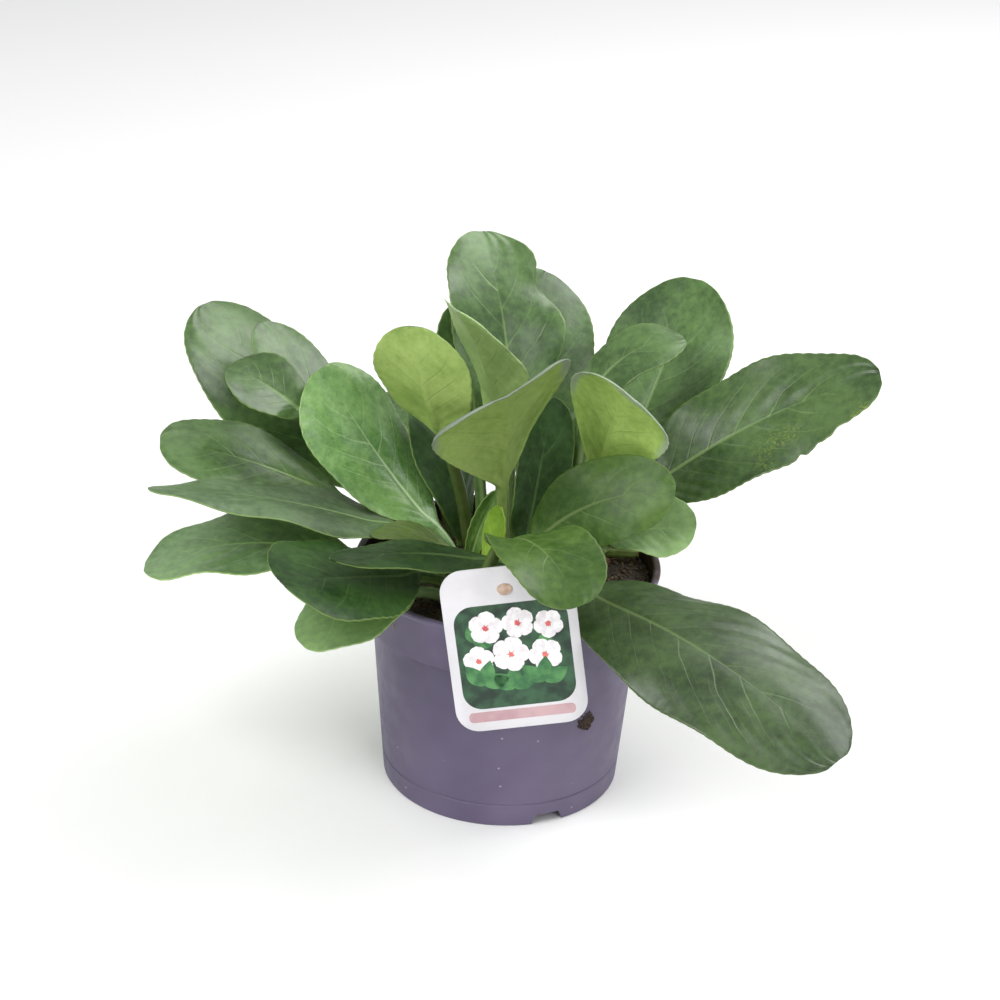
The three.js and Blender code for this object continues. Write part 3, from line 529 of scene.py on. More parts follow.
@dataclass
class LeafBuilder:
    """Grows leaves from their shapes: a stalk and a blade with midrib, veins and teeth."""

    root_level: float = 104.0
    half_thickness: float = 0.4
    margin_thickness: float = 0.26
    keel_share: float = 1.1
    keel_reach: float = 4.0
    stalk_taper: float = 0.75
    fold_width: float = 0.12
    fold_fade: float = 0.5
    base_growth: float = 0.25
    petiole_blend: float = 0.14
    tip_fade: float = 0.9
    vein_sweep: float = 0.2
    vein_curve: float = 0.1
    vein_spread: float = 1.15
    vein_start: float = 0.02
    vein_stagger: float = 0.25
    tooth_pitch: float = 5.2
    tooth_shape: float = 1.5
    tooth_from: float = 0.72
    least_width: float = 0.15
    calm_tip: float = 0.08
    trough_depth: float = 0.6
    trough_width: float = 0.05
    unevenness: float = 0.5
    walk_steps: int = 192
    section_steps: int = 32
    large_blade: float = 81.0
    large_grid: tuple[int, int] = (118, 27)
    small_grid: tuple[int, int] = (84, 21)
    stalk_rows: int = 12
    materials: dict = field(default_factory=dict)

    def growth(self, leaf: LeafShape, length: Array) -> tuple[Array, Array, Array]:
        """Elevation, azimuth and turn, in radians, at lengths from the root.

        Args:
            leaf: the leaf's shape.
            length: lengths along petiole and blade in mm.

        Returns:
            The three angles at each length.
        """
        along = np.clip(length / leaf.petiole, 0, 1)
        out = np.clip((length - leaf.petiole) / leaf.blade, 0, 1)
        elevation = leaf.lift + (leaf.neck - leaf.lift) * along
        elevation = elevation + (leaf.end - leaf.neck) * out**leaf.curl
        azimuth = leaf.azimuth + leaf.sway * length / (leaf.petiole + leaf.blade)
        turn = (leaf.turn - leaf.twist / 2) * smooth_step(0, 1, along) + leaf.twist * out
        return np.radians(elevation), np.radians(azimuth), np.radians(turn)

    def frames(self, leaf: LeafShape, length: Array) -> tuple[Array, Array, Array]:
        """Midrib points with the directions to the side and up from the face.

        Args:
            leaf: the leaf's shape.
            length: lengths along petiole and blade in mm.

        Returns:
            Points, sides and ups, one row for each length.
        """
        total = leaf.petiole + leaf.blade
        step = total / self.walk_steps
        elevation, azimuth, _ = self.growth(leaf, (np.arange(self.walk_steps) + 0.5) * step)
        walked = np.zeros((self.walk_steps + 1, 3))
        walked[0] = (*leaf.root, self.root_level)
        walked[1:] = walked[0] + np.cumsum(heading(elevation, azimuth) * step, 0)
        marks = np.arange(self.walk_steps + 1) * step
        points = np.stack([np.interp(length, marks, walked[:, k]) for k in range(3)], -1)
        elevation, azimuth, turn = self.growth(leaf, length)
        level = np.stack([np.sin(azimuth), -np.cos(azimuth), 0 * azimuth], -1)
        above = np.cross(level, heading(elevation, azimuth))
        cos, sin = np.cos(turn)[:, None], np.sin(turn)[:, None]
        return points, cos * level - sin * above, cos * above + sin * level

    def half_width(self, leaf: LeafShape, out: Array) -> Array:
        """Half the leaf's width at shares of the blade's length.

        Args:
            leaf: the leaf's shape.
            out: shares of the blade's length, below 0 on the petiole.

        Returns:
            Half widths in mm.
        """
        rise = leaf.tip * leaf.wide / (1 - leaf.wide)
        most = leaf.wide**rise * (1 - leaf.wide) ** leaf.tip
        inside = np.clip(out, 0, 1)
        blade = leaf.width / 2 * inside**rise * (1 - inside) ** leaf.tip / most
        stalk = leaf.stem * (1 - self.stalk_taper * inside)
        fade = np.where(out > self.tip_fade, np.sqrt(np.clip(1 - out, 0, 1) / (1 - self.tip_fade)), 1.0)
        return np.hypot(blade, stalk * fade)

    def vein_order(self, leaf: LeafShape, out: Array, reach: Array, side: Array) -> Array:
        """Running number of the side veins: a vein lies at each half.

        Args:
            leaf: the leaf's shape.
            out: shares of the blade's length.
            reach: shares of the half width.
            side: -1 left or 1 right of the midrib.

        Returns:
            The running number, left and right veins alternating.
        """
        sweep = self.vein_sweep * reach + self.vein_curve * reach**2
        spread = self.vein_spread * np.sqrt(np.clip(out + self.vein_start, 0, 2))
        return leaf.veins * (spread - sweep) + self.vein_stagger * side + 3.0

    def sections(self, leaf: LeafShape, out: Array, across: Array) -> tuple[Array, Array]:
        """The middle surface's place, sideways and up from the midrib.

        Args:
            leaf: the leaf's shape.
            out: shares of the blade's length, a column.
            across: signed shares of the half width, a row.

        Returns:
            Sideways and upward distances in mm.
        """
        half = self.half_width(leaf, out)
        grown = np.clip(out / self.base_growth, 0, 1)
        reach = np.abs(across)
        steps = (np.arange(self.section_steps) + 0.5) / self.section_steps
        share = reach[..., None] * steps
        cup = np.where(across < 0, leaf.cup[0], leaf.cup[1])[..., None]
        fold = (leaf.fold * (1 - self.fold_fade * np.clip(out, 0, 1)))[..., None]
        slope = fold * np.tanh(share / self.fold_width) + cup * share
        slope = slope - leaf.roll * smooth_step(leaf.roll_from, 1.0, share)
        slope = np.radians(slope * grown[..., None])
        sideways = np.cos(slope).mean(-1) * reach * half
        up = np.sin(slope).mean(-1) * reach * half
        settled = np.clip((1 - out) / self.calm_tip, 0, 1)
        shift = np.where(across < 0, 0.5, 0.0)
        wave = np.sin(2 * np.pi * (leaf.waves * np.clip(out, 0, 1) + leaf.phase + shift))
        up = up + leaf.ruffle * reach**3 * wave * grown * settled
        rim = smooth_step(self.tooth_from, 1.0, reach)
        beat = np.pi * leaf.blade / self.tooth_pitch * out + leaf.phase * 9
        teeth = np.abs(np.sin(beat)) ** self.tooth_shape
        drawn = leaf.tooth * (1 - teeth) * rim * grown
        for dent in leaf.dents:
            near = np.exp(-(((out - dent.at) / dent.reach) ** 2)) * (np.sign(across) == dent.side)
            drawn = drawn + dent.depth * near * rim
            up = up + dent.lift * near * reach**2
        sideways = np.maximum(sideways - drawn, self.least_width * reach * half)
        return np.sign(across) * sideways, up

    def relief(self, leaf: LeafShape, out: Array, across: Array) -> Array:
        """Height of the blade between its sunken veins.

        Args:
            leaf: the leaf's shape.
            out: shares of the blade's length, a column.
            across: signed shares of the half width, a row.

        Returns:
            Heights in mm.
        """
        reach = np.abs(across)
        order = self.vein_order(leaf, out, reach, np.sign(across))
        swell = -np.cos(2 * np.pi * (order - 0.5))
        grown = smooth_step(0.0, 0.2, out)
        room = smooth_step(0.04, 0.3, reach) * (1 - reach**4) * grown
        trough = -self.trough_depth * np.exp(-((reach / self.trough_width) ** 2)) * grown * (1 - out)
        uneven = np.sin(7 * out + 5 * leaf.phase + 2.6 * across)
        uneven = uneven * np.sin(11 * out - 3 * across + leaf.azimuth)
        patch = 0.5 + 0.5 * np.sin(4.3 * out + 3.1 * across + 1.7 * leaf.azimuth)
        hollow = (trough + self.unevenness * uneven * room) * np.clip(1 - out, 0, 1) ** 0.3
        return leaf.relief * swell * room * patch + hollow

    def depths(self, leaf: LeafShape, out: Array, across: Array) -> tuple[Array, Array]:
        """Depth of the leaf above and below its middle surface.

        Args:
            leaf: the leaf's shape.
            out: shares of the blade's length, a column.
            across: signed shares of the half width, a row.

        Returns:
            Depths above and below in mm.
        """
        reach = np.abs(across)
        half = self.half_width(leaf, out)
        stalk = leaf.stem * (1 - self.stalk_taper * np.clip(out, 0, 1)) * np.sqrt(1 - reach**2)
        thin = self.half_thickness + (self.margin_thickness - self.half_thickness) * reach**2
        petiole = 1 - smooth_step(0, self.petiole_blend, out)
        near = np.clip(1 - reach * half / self.keel_reach, 0, 1)
        keel = leaf.stem * self.keel_share * np.clip(1 - out, 0, 2) * smooth_step(0, 1, near)
        round_part = np.maximum(stalk, thin)
        top = petiole * round_part + (1 - petiole) * thin
        bottom = petiole * round_part + (1 - petiole) * (thin + keel)
        return top, bottom

    def rings(self, leaf: LeafShape) -> tuple[Array, Array, Array]:
        """Rings of points round the leaf from root to tip.

        Args:
            leaf: the leaf's shape.

        Returns:
            The points by ring, the blade shares and the across shares.
        """
        rows, columns = self.large_grid if leaf.blade > self.large_blade else self.small_grid
        stalk = np.linspace(0, leaf.petiole, self.stalk_rows)[:-1]
        blade = np.sin(np.linspace(0, 1, rows) * np.pi / 2) ** 1.15
        length = np.concatenate([stalk, leaf.petiole + leaf.blade * blade * 0.995])
        out = ((length - leaf.petiole) / leaf.blade)[:, None]
        inner = np.linspace(0, 1, columns) ** 0.85
        across = np.concatenate([-inner[:0:-1], inner])[None, :]
        points, side, up = self.frames(leaf, length)
        grid_out, grid_across = np.broadcast_arrays(out, across)
        x, z = self.sections(leaf, grid_out, grid_across)
        z = z + self.relief(leaf, grid_out, grid_across)
        run = np.hypot(np.gradient(x, axis=1), np.gradient(z, axis=1)) + 1e-9
        lean_x, lean_z = -np.gradient(z, axis=1) / run, np.gradient(x, axis=1) / run
        top, bottom = self.depths(leaf, grid_out, grid_across)

        def place(depth: Array) -> Array:
            across_part = side[:, None] * (x + lean_x * depth)[..., None]
            up_part = up[:, None] * (z + lean_z * depth)[..., None]
            return points[:, None] + across_part + up_part

        ring = np.concatenate([place(top), place(-bottom)[:, ::-1]], axis=1)
        return ring, out[:, 0], across[0]

    def build(self, leaf: LeafShape) -> Piece:
        """Makes the leaf's mesh with its maps and its two faces' materials.

        Args:
            leaf: the leaf's shape.

        Returns:
            The new object.
        """
        ring, out, across = self.rings(leaf)
        rows, around = ring.shape[:2]
        columns = around // 2
        index = np.arange(rows * around).reshape(rows, around)
        here, beyond = index[:-1], index[1:]
        after, after_beyond = np.roll(here, -1, 1), np.roll(beyond, -1, 1)
        skin = np.stack([here, after, after_beyond, beyond], -1).reshape(-1, 4)
        j = np.arange(columns - 1)
        under = around - 1 - j
        first, last = index[0], index[-1]
        foot = np.stack([first[j], first[under], first[under - 1], first[j + 1]], -1)
        tip = np.stack([last[j], last[j + 1], last[under - 1], last[under]], -1)
        quads = np.concatenate([skin, foot, tip])
        mesh = bpy.data.meshes.new(leaf.name)
        mesh.from_pydata((ring.reshape(-1, 3) * MM).tolist(), [], quads.tolist())
        column = np.tile(np.arange(around), rows - 1)
        lower = (column >= columns) & (column < around - 1)
        slots = np.concatenate([lower, np.zeros(len(foot) + len(tip), bool)]).astype(np.int32)
        mesh.polygons.foreach_set("material_index", slots)
        mesh.polygons.foreach_set("use_smooth", np.ones(len(quads), bool))
        self.write_maps(mesh, leaf, quads, out, across)
        mesh.update()
        for material in self.faces(leaf.tone):
            mesh.materials.append(material)
        return add_piece(leaf.name + "_fine", mesh)

    def write_maps(
        self, mesh: bpy.types.Mesh, leaf: LeafShape, quads: Array, out: Array, across: Array
    ) -> None:
        """Writes the maps for the veins, midrib and margin, and the map of painted light, shade and rim
        sheen.

        Args:
            mesh: the leaf's mesh.
            leaf: the leaf's shape.
            quads: vertex numbers of each face.
            out: blade shares of the rings.
            across: across shares of the columns.
        """
        around = 2 * len(across)
        ring_across = np.concatenate([across, across[::-1]])
        corner_out = out[quads // around]
        corner_across = ring_across[quads % around]
        side = np.sign(corner_across.mean(1, keepdims=True)) * np.ones_like(corner_across)
        half = self.half_width(leaf, corner_out)
        reach = np.abs(corner_across)
        order = self.vein_order(leaf, corner_out, reach, side)
        # Painted light and shade: shade scales the leaf's brightness and darkens its stalk by stalk_shade;
        # band is the rim's painted sheen, haze a greyer tone.
        past_stalk = smooth_step(-0.02, 0.06, corner_out)
        shade = leaf.shade * (leaf.stalk_shade + (1 - leaf.stalk_shade) * past_stalk)
        outer = np.maximum(smooth_step(0.84, 0.93, reach), smooth_step(0.93, 0.97, corner_out))
        band = np.maximum(leaf.band * outer * smooth_step(0.5, 0.7, corner_out), leaf.haze)
        maps = {
            "vein": np.stack([order, corner_out], -1),
            "span": np.stack([corner_across * half / 100, (1 - reach) * half / 100], -1),
            "shade": np.stack([shade, band], -1),
        }
        for name, values in maps.items():
            layer = mesh.uv_layers.new(name=name)
            layer.data.foreach_set("uv", values.reshape(-1).astype(np.float32))

    def faces(self, tone: LeafTone) -> list[Material]:
        """The upper and lower face's materials, made once for each tone.

        Args:
            tone: the leaf's tone.

        Returns:
            The two materials.
        """
        light = tone in (LeafTone.PALE, LeafTone.YOUNG)
        below = UNDER_FINISHES[LeafTone.PALE if light else LeafTone.GREEN]
        made = []
        for finish in (UPPER_FINISHES[tone], below):
            if finish.name not in self.materials:
                self.materials[finish.name] = finish.build()
            made.append(self.materials[finish.name])
        return made


# In the rows, shade, stalk_shade and band are partly painted light and shade, set per leaf; the DARK tone is
# painted shade.
LEAVES = [
    LeafShape("leaf_left_upper_large", (-51, 24), 144, 57, 33, 36, 40, 128, 74, -12, twist=24,
              cup=(-12, -25), ruffle=1.4, phase=0.3, relief=0.18, shade=0.9),
    LeafShape("leaf_left_upper_narrow", (-40, 11), 139, 59, 38, 37, 42, 110, 43, 6, sway=4, twist=-10,
              fold=12, cup=(-8, -2), ruffle=1, phase=0.5, shade=0.95, relief=0.06),
    LeafShape("leaf_left_upper_small", (-48, 9), 167, 65, 43, 11, 93, 45, 39, -22, sway=-1, twist=26,
              fold=12, cup=(-1, -7), ruffle=0.8, waves=1.5, phase=0.3, shade=0.85, relief=0.06),
    LeafShape("leaf_left_middle", (-46, 17), 178, 53, 30, 10, 50, 94, 51, -19, sway=12, fold=6,
              cup=(-8, -11), ruffle=1.2, phase=0.2, shade=0.9, relief=0.1),
    LeafShape("leaf_left_long_flat", (-28, -1), 192, 71, 24, 7, 41, 125, 49, 9, sway=7, wide=0.38, tip=0.6,
              twist=10, cup=(-34, -3), ruffle=1.2, waves=2.5, phase=0.5, tone=LeafTone.GREY, relief=0.1,
              shade=1.15, dents=(Dent(1, 0.2, 0.15, -5.0),)),
    LeafShape("leaf_left_drooping", (-42, -14), 185, 37, 22, -27, 35, 106, 56, -5, sway=-1, twist=14, fold=5,
              cup=(-4, 0), ruffle=1.6, waves=2.5, tone=LeafTone.GREY, relief=0.4, shade=1.8),
    LeafShape("leaf_left_front_wide", (-22, -20), 223, 56, 18, 13, 36, 83, 67, -11, sway=-2, twist=-2, fold=4,
              cup=(-10, -5), ruffle=1.2, waves=2.2, phase=0.4, tone=LeafTone.DARK, tooth=0.6, shade=0.95),
    LeafShape("leaf_left_front_narrow", (6, -21), 213, 88, 25, 6, 32, 92, 35, -8, sway=4, twist=29, fold=5,
              cup=(-5, -27), ruffle=0.8, phase=0.4, stem=2.6, tone=LeafTone.DARK, shade=0.75),
    LeafShape("leaf_left_front_low", (-25, -30), 216, 57, 9, -33, 28, 63, 52, 1, sway=-7, twist=6, fold=4,
              cup=(-8, -4), ruffle=1.2, phase=0.1, tone=LeafTone.LIGHT, shade=1.35, haze=0.3),
    LeafShape("leaf_left_glossy", (-22, 3), 160, 73, 43, 56, 27, 98, 63, -10, sway=-4, twist=-6, fold=10,
              cup=(-30, -22), ruffle=1.2, phase=0.7, tone=LeafTone.GLOSSY, veins=9, shade=1.3, relief=0.08),
    LeafShape("leaf_centre_left_pale", (-19, 25), 242, 80, 60, 79, 84, 66, 50, 8, sway=-11, wide=0.55,
              twist=20, fold=5, cup=(3, -17), ruffle=0.8, phase=0.4, tone=LeafTone.PALE, shade=1.1,
              stalk_shade=0.35),
    LeafShape("leaf_centre_left_dark", (-23, 30), 125, 88, 86, 36, 7, 76, 41, 13, sway=5, twist=-25, fold=10,
              cup=(-12, -22), ruffle=0.8, phase=0.1, tone=LeafTone.DARK, dents=(Dent(-1, 0.45, 0.3, -3.0),)),
    LeafShape("leaf_back_tall", (0, 36), 105, 85, 89, 33, 57, 111, 59, 7, sway=8, wide=0.6, twist=6, fold=6,
              cup=(2, 7), ruffle=2.2, waves=2.5, phase=0.1, relief=0.15,
              dents=(Dent(1, 0.72, 0.09, 5.0, -3.0), Dent(1, 0.5, 0.1, -1.5, 2.0))),
    LeafShape("leaf_back_beside_tall", (11, 36), 83, 70, 66, 36, 45, 101, 58, 28, sway=7, twist=18, fold=4,
              cup=(1, 2), ruffle=1.2, phase=0.6, shade=1.1, relief=0.08),
    LeafShape("leaf_back_sliver", (-12, 28), 110, 78, 73, 61, 49, 79, 34, -6, sway=5, twist=4, fold=5,
              cup=(0, 1), ruffle=0.8, phase=0.1),
    LeafShape("leaf_back_folded_pale", (-3, 21), 230, 90, 84, 46, 67, 89, 50, -9, wide=0.6, twist=-7,
              fold=20, cup=(-5, -5), ruffle=0.8, phase=0.6, tone=LeafTone.PALE,
              dents=(Dent(-1, 0.7, 0.07, 3.0), Dent(-1, 0.86, 0.05, 2.0)), shade=1.9, haze=0.3),
    LeafShape("leaf_front_cupped", (-4, -1), 266, 89, 75, 22, 56, 80, 78, 36, sway=6, curl=2, wide=0.68,
              twist=-22, fold=10, cup=(9, -7), ruffle=1, waves=1.5, phase=0.3, tone=LeafTone.PALE, roll=45,
              shade=0.9, band=0.9),
    LeafShape("leaf_right_cupped", (43, 17), 287, 87, 83, 33, 43, 79, 57, -52, curl=1.3, wide=0.7, twist=15,
              fold=6, cup=(-1, -2), ruffle=1, waves=1.5, phase=0.6, tone=LeafTone.PALE, roll=40,
              shade=1.5, band=0.8),
    LeafShape("leaf_right_back_narrow", (28, 33), 24, 86, 83, -10, 71, 73, 34, 12, sway=-3, twist=1, fold=5,
              cup=(-6, -10), ruffle=1, phase=0.2, shade=0.85, relief=0.08),
    LeafShape("leaf_right_front", (4, -8), 340, 87, 57, 2, 27, 81, 43, 54, sway=11, wide=0.58, twist=-23,
              fold=6, cup=(-5, -22), ruffle=1.4, tone=LeafTone.LIGHT, veins=7, shade=0.65, relief=0.1),
    LeafShape("leaf_right_back_round", (38, 31), 58, 60, 40, 60, 49, 107, 75, -6, sway=1, wide=0.6,
              twist=-17, fold=4, cup=(0, -2), ruffle=1.2, phase=0.3, shade=1.15),
    LeafShape("leaf_right_large", (37, 23), 3, 64, 43, 20, 51, 129, 64, 32, sway=-7, wide=0.52, twist=-15,
              cup=(-4, -2), ruffle=2, waves=2.5, phase=0.2, tone=LeafTone.MOTTLED, relief=0.42, veins=9,
              tooth=0.5, shade=0.75,
              dents=(Dent(1, 0.62, 0.02, 2.2), Dent(1, 0.7, 0.03, 1.6), Dent(1, 0.8, 0.02, 1.6))),
    LeafShape("leaf_right_small", (29, -7), 357, 71, 38, -10, 34, 44, 39, 16, sway=-6, wide=0.55, twist=40,
              fold=4, cup=(9, 1), ruffle=0.8, phase=0.5, tone=LeafTone.LIGHT, shade=1.4, haze=0.25),
    LeafShape("leaf_right_drooping", (14, -24), 319, 59, 6, -26, 33, 157, 75, 12, wide=0.52, tip=0.45,
              twist=9, fold=4, cup=(-21, -27), ruffle=2, waves=2.5, phase=0.6, relief=0.32, veins=10,
              shade=0.52),
    LeafShape("leaf_front_over_card", (-13, -39), 303, 88, 53, -41, 49, 76, 47, 5, sway=-1, curl=0.8,
              wide=0.6, tip=0.45, twist=32, fold=4, cup=(4, 19), ruffle=1.4, phase=0.8,
              tone=LeafTone.LIGHT, shade=0.6),
    LeafShape("leaf_centre_dark", (6, 8), 64, 82, 66, 78, 13, 77, 32, 49, sway=-2, twist=10, fold=18,
              cup=(17, 6), ruffle=0.8, phase=0.3, tone=LeafTone.DARK, dents=(Dent(-1, 0.15, 0.2, -3.5),)),
    LeafShape("leaf_young_folded", (-20, -3), 42, 85, 79, 53, 8, 42, 12, 53, sway=-10, twist=22, fold=30,
              cup=(12, 7), tone=LeafTone.LIGHT),
    LeafShape("leaf_young_pale", (-9, -21), 60, 88, 77, 85, 10, 39, 15, -5, sway=-10, fold=20, cup=(3, 8),
              tone=LeafTone.YOUNG, tooth=0.5),
    LeafShape("leaf_young_left", (-21, -10), 202, 88, 45, -3, 26, 44, 18, -17, sway=10, wide=0.55, twist=47,
              fold=10, cup=(-11, -8), ruffle=0.6, phase=0.2, tone=LeafTone.YOUNG, tooth=0.5,
              shade=0.4, haze=0.25),
    LeafShape("leaf_rear_left", (-26, 36), 118, 56, 30, -10, 40, 80, 58, cup=(-4, -4), ruffle=1.4, phase=0.1),
    LeafShape("leaf_rear_middle", (0, 48), 92, 52, 34, 0, 36, 80, 62, cup=(-4, -4), ruffle=1.4, phase=0.5),
    LeafShape("leaf_rear_right", (26, 44), 66, 54, 38, 4, 38, 80, 60, cup=(-4, -4), ruffle=1.4, phase=0.8),
    LeafShape("leaf_rear_far_right", (44, 29), 34, 44, 38, 5, 29, 80, 52, -1, sway=1, twist=-21,
              cup=(-4, -6), ruffle=1.4, phase=0.3),
    LeafShape("leaf_rear_far_left", (-39, 32), 130, 47, 28, -6, 25, 78, 50, 10, sway=1, twist=-11,
              cup=(-3, -5), ruffle=1.2, phase=0.6),
]


@dataclass(frozen=True)
class PotPlastic:
    """Grey-violet moulded plastic with a fine grain, specks, smears of soil and painted shade at the rim, in
    metres.
    """

    body: Colour = rgb(90, 81, 107)
    worn: Colour = rgb(109, 99, 125)
    speck: Colour = rgb(196, 190, 200)
    soil_and_shade: Colour = rgb(62, 46, 36)
    specular: float = 0.42
    collar_flare: float = 0.132
    inner_start: float = 0.0577
    inner_end: float = 0.0589
    inner_floor: float = 0.098
    rim_patch_x: float = 0.056
    rim_patch_y: float = -0.03
    rim_patch_floor: float = 0.1

    def build(self) -> Material:
        """Makes the material."""
        material, graph, surface = new_material("pot_plastic")
        place = graph.object_place()
        broad = graph.span(graph.noise(place, 14.0), 0.35, 0.7)
        colour = graph.mix(broad, self.body, self.worn)
        upright = graph.add("ShaderNodeMapping", {"Vector": place, "Scale": (160.0, 160.0, 14.0)})
        scuff = graph.span(graph.noise(upright.outputs[0], 1.0, 4.0), 0.62, 0.75, 0.0, 0.25)
        colour = graph.mix(scuff, colour, self.worn)
        colour = graph.mix(graph.span(graph.cells(place, 95.0), 0.035, 0.06, 0.55, 0.0), colour, self.speck)
        # Crumbs are soil; the inner face and the rim at the right get soil and painted shade in one dark
        # colour.
        for share in (self.crumbs(graph, place), self.inside(graph, place), self.rim_soil_and_shade(graph, place)):
            colour = graph.mix(share, colour, self.soil_and_shade)
        graph.feed(surface.inputs["Base Color"], colour)
        rough = graph.span(graph.noise(place, 120.0, 4.0), 0.3, 0.7, 0.42, 0.56)
        graph.feed(surface.inputs["Roughness"], rough)
        surface.inputs["Specular IOR Level"].default_value = self.specular
        grain = graph.math("ADD", graph.noise(place, 1300.0, 2.0), graph.product(broad, 0.5))
        graph.feed(surface.inputs["Normal"], graph.bump(grain, 0.3, 0.0001))
        return material

    def crumbs(self, graph: Graph, place: object) -> Socket:
        """Share of small crumbs of soil in patches on the collar."""
        height = graph.add("ShaderNodeSeparateXYZ", {0: place}).outputs[2]
        patch = graph.span(graph.noise(place, 45.0), 0.5, 0.62)
        crumb = graph.span(graph.cells(place, 150.0), 0.1, 0.2, 0.9, 0.0)
        return graph.product(crumb, graph.span(height, 0.075, 0.112), patch)

    def inside(self, graph: Graph, place: object) -> Socket:
        """Share of soil and painted shade on the inner face, found by the radius less the collar's flare."""
        height = graph.add("ShaderNodeSeparateXYZ", {0: place}).outputs[2]
        flat = graph.add("ShaderNodeVectorMath", {0: place, 1: (1.0, 1.0, 0.0)}, operation="MULTIPLY")
        radius = graph.add("ShaderNodeVectorMath", {0: flat.outputs[0]}, operation="LENGTH").outputs["Value"]
        radius = graph.math("SUBTRACT", radius, graph.product(height, self.collar_flare))
        ragged_edge = graph.product(graph.noise(place, 260.0, 4.0), 0.002)
        inner = graph.span(graph.math("ADD", radius, ragged_edge), self.inner_start, self.inner_end, 0.92, 0.0)
        return graph.product(inner, graph.span(height, self.inner_floor, self.inner_floor + 0.002))

    def rim_soil_and_shade(self, graph: Graph, place: object) -> Socket:
        """Share of soil and painted shade on the rim at the right."""
        x, y, height = graph.add("ShaderNodeSeparateXYZ", {0: place}).outputs
        right = graph.span(x, self.rim_patch_x, self.rim_patch_x + 0.008)
        behind = graph.span(y, self.rim_patch_y, self.rim_patch_y + 0.015)
        high = graph.span(height, self.rim_patch_floor, self.rim_patch_floor + 0.008)
        ragged = graph.span(graph.noise(place, 120.0, 5.0), 0.4, 0.5, 0.2, 0.95)
        return graph.product(ragged, right, behind, high)


@dataclass(frozen=True)
class CompostFinish:
    """Dark moist compost, or a brown fibre or crumb of it."""

    name: str
    low: Colour
    high: Colour
    roughness: float = 0.85
    scale: float = 320.0

    def build(self) -> Material:
        """Makes the material."""
        material, graph, surface = new_material(self.name)
        place = graph.object_place()
        coarse = graph.noise(place, self.scale, 6.0)
        patches = graph.noise(place, self.scale / 9)
        shade = graph.math("ADD", graph.product(coarse, 0.65), graph.product(patches, 0.35))
        colour = graph.mix(graph.span(shade, 0.35, 0.68), self.low, self.high)
        graph.feed(surface.inputs["Base Color"], colour)
        rough = graph.span(coarse, 0.3, 0.7, self.roughness - 0.25, self.roughness)
        graph.feed(surface.inputs["Roughness"], rough)
        graph.feed(surface.inputs["Normal"], graph.bump(coarse, 0.8, 0.0008))
        return material


@dataclass(frozen=True)
class PrintFinish:
    """One printed colour of the card, softly shaded, under a satin film."""

    name: str
    low: Colour
    high: Colour
    scale: float = 90.0
    roughness: float = 0.38

    def build(self) -> Material:
        """Makes the material."""
        material, graph, surface = new_material(self.name)
        place = graph.object_place()
        soft = graph.span(graph.noise(place, self.scale, 4.0), 0.32, 0.68)
        graph.feed(surface.inputs["Base Color"], graph.mix(soft, self.low, self.high))
        wear = graph.noise(place, 200.0, 2.0)
        rough = graph.span(wear, 0.3, 0.7, self.roughness - 0.04, self.roughness + 0.05)
        graph.feed(surface.inputs["Roughness"], rough)
        graph.feed(surface.inputs["Normal"], graph.bump(graph.noise(place, 700.0, 2.0), 0.15, 0.00005))
        return material


@dataclass(frozen=True)
class BarkFinish:
    """Brown scaly skin of the rootstock ends, with greener patches."""

    low: Colour = rgb(58, 40, 30)
    high: Colour = rgb(112, 82, 58)
    green: Colour = rgb(104, 112, 62)

    def build(self) -> Material:
        """Makes the material."""
        material, graph, surface = new_material("rootstock_bark")
        place = graph.object_place()
        stretched = graph.add("ShaderNodeMapping", {"Vector": place, "Scale": (1.0, 1.0, 0.35)})
        fibre = graph.noise(stretched.outputs[0], 380.0, 5.0)
        colour = graph.mix(graph.span(fibre, 0.3, 0.7), self.low, self.high)
        patch = graph.span(graph.noise(place, 70.0, 2.0), 0.55, 0.7, 0.0, 0.6)
        graph.feed(surface.inputs["Base Color"], graph.mix(patch, colour, self.green))
        graph.feed(surface.inputs["Roughness"], graph.span(fibre, 0.2, 0.8, 0.6, 0.9))
        graph.feed(surface.inputs["Normal"], graph.bump(fibre, 0.9, 0.0008))
        return material


@dataclass(frozen=True)
class StubFinish:
    """Olive stalk with fine lines along it and a browner cut end."""

    low: Colour = rgb(104, 122, 58)
    high: Colour = rgb(146, 164, 92)
    cut: Colour = rgb(120, 92, 62)
    end_x: float = 0.0635

    def build(self) -> Material:
        """Makes the material."""
        material, graph, surface = new_material("old_stalk")
        place = graph.object_place()
        lines = graph.add("ShaderNodeMapping", {"Vector": place, "Scale": (120.0, 900.0, 900.0)})
        streak = graph.noise(lines.outputs[0], 1.0, 4.0)
        colour = graph.mix(graph.span(streak, 0.3, 0.7), self.low, self.high)
        along = graph.add("ShaderNodeSeparateXYZ", {0: place}).outputs[0]
        colour = graph.mix(graph.span(along, self.end_x, self.end_x + 0.0012, 0.0, 0.7), colour, self.cut)
        graph.feed(surface.inputs["Base Color"], colour)
        graph.feed(surface.inputs["Roughness"], graph.span(streak, 0.2, 0.8, 0.4, 0.6))
        graph.feed(surface.inputs["Normal"], graph.bump(streak, 0.4, 0.0003))
        return material


def add_piece(name: str, mesh: bpy.types.Mesh) -> Piece:
    """Puts a mesh into the scene under a name."""
    made = bpy.data.objects.new(name, mesh)
    bpy.context.scene.collection.objects.link(made)
    return made


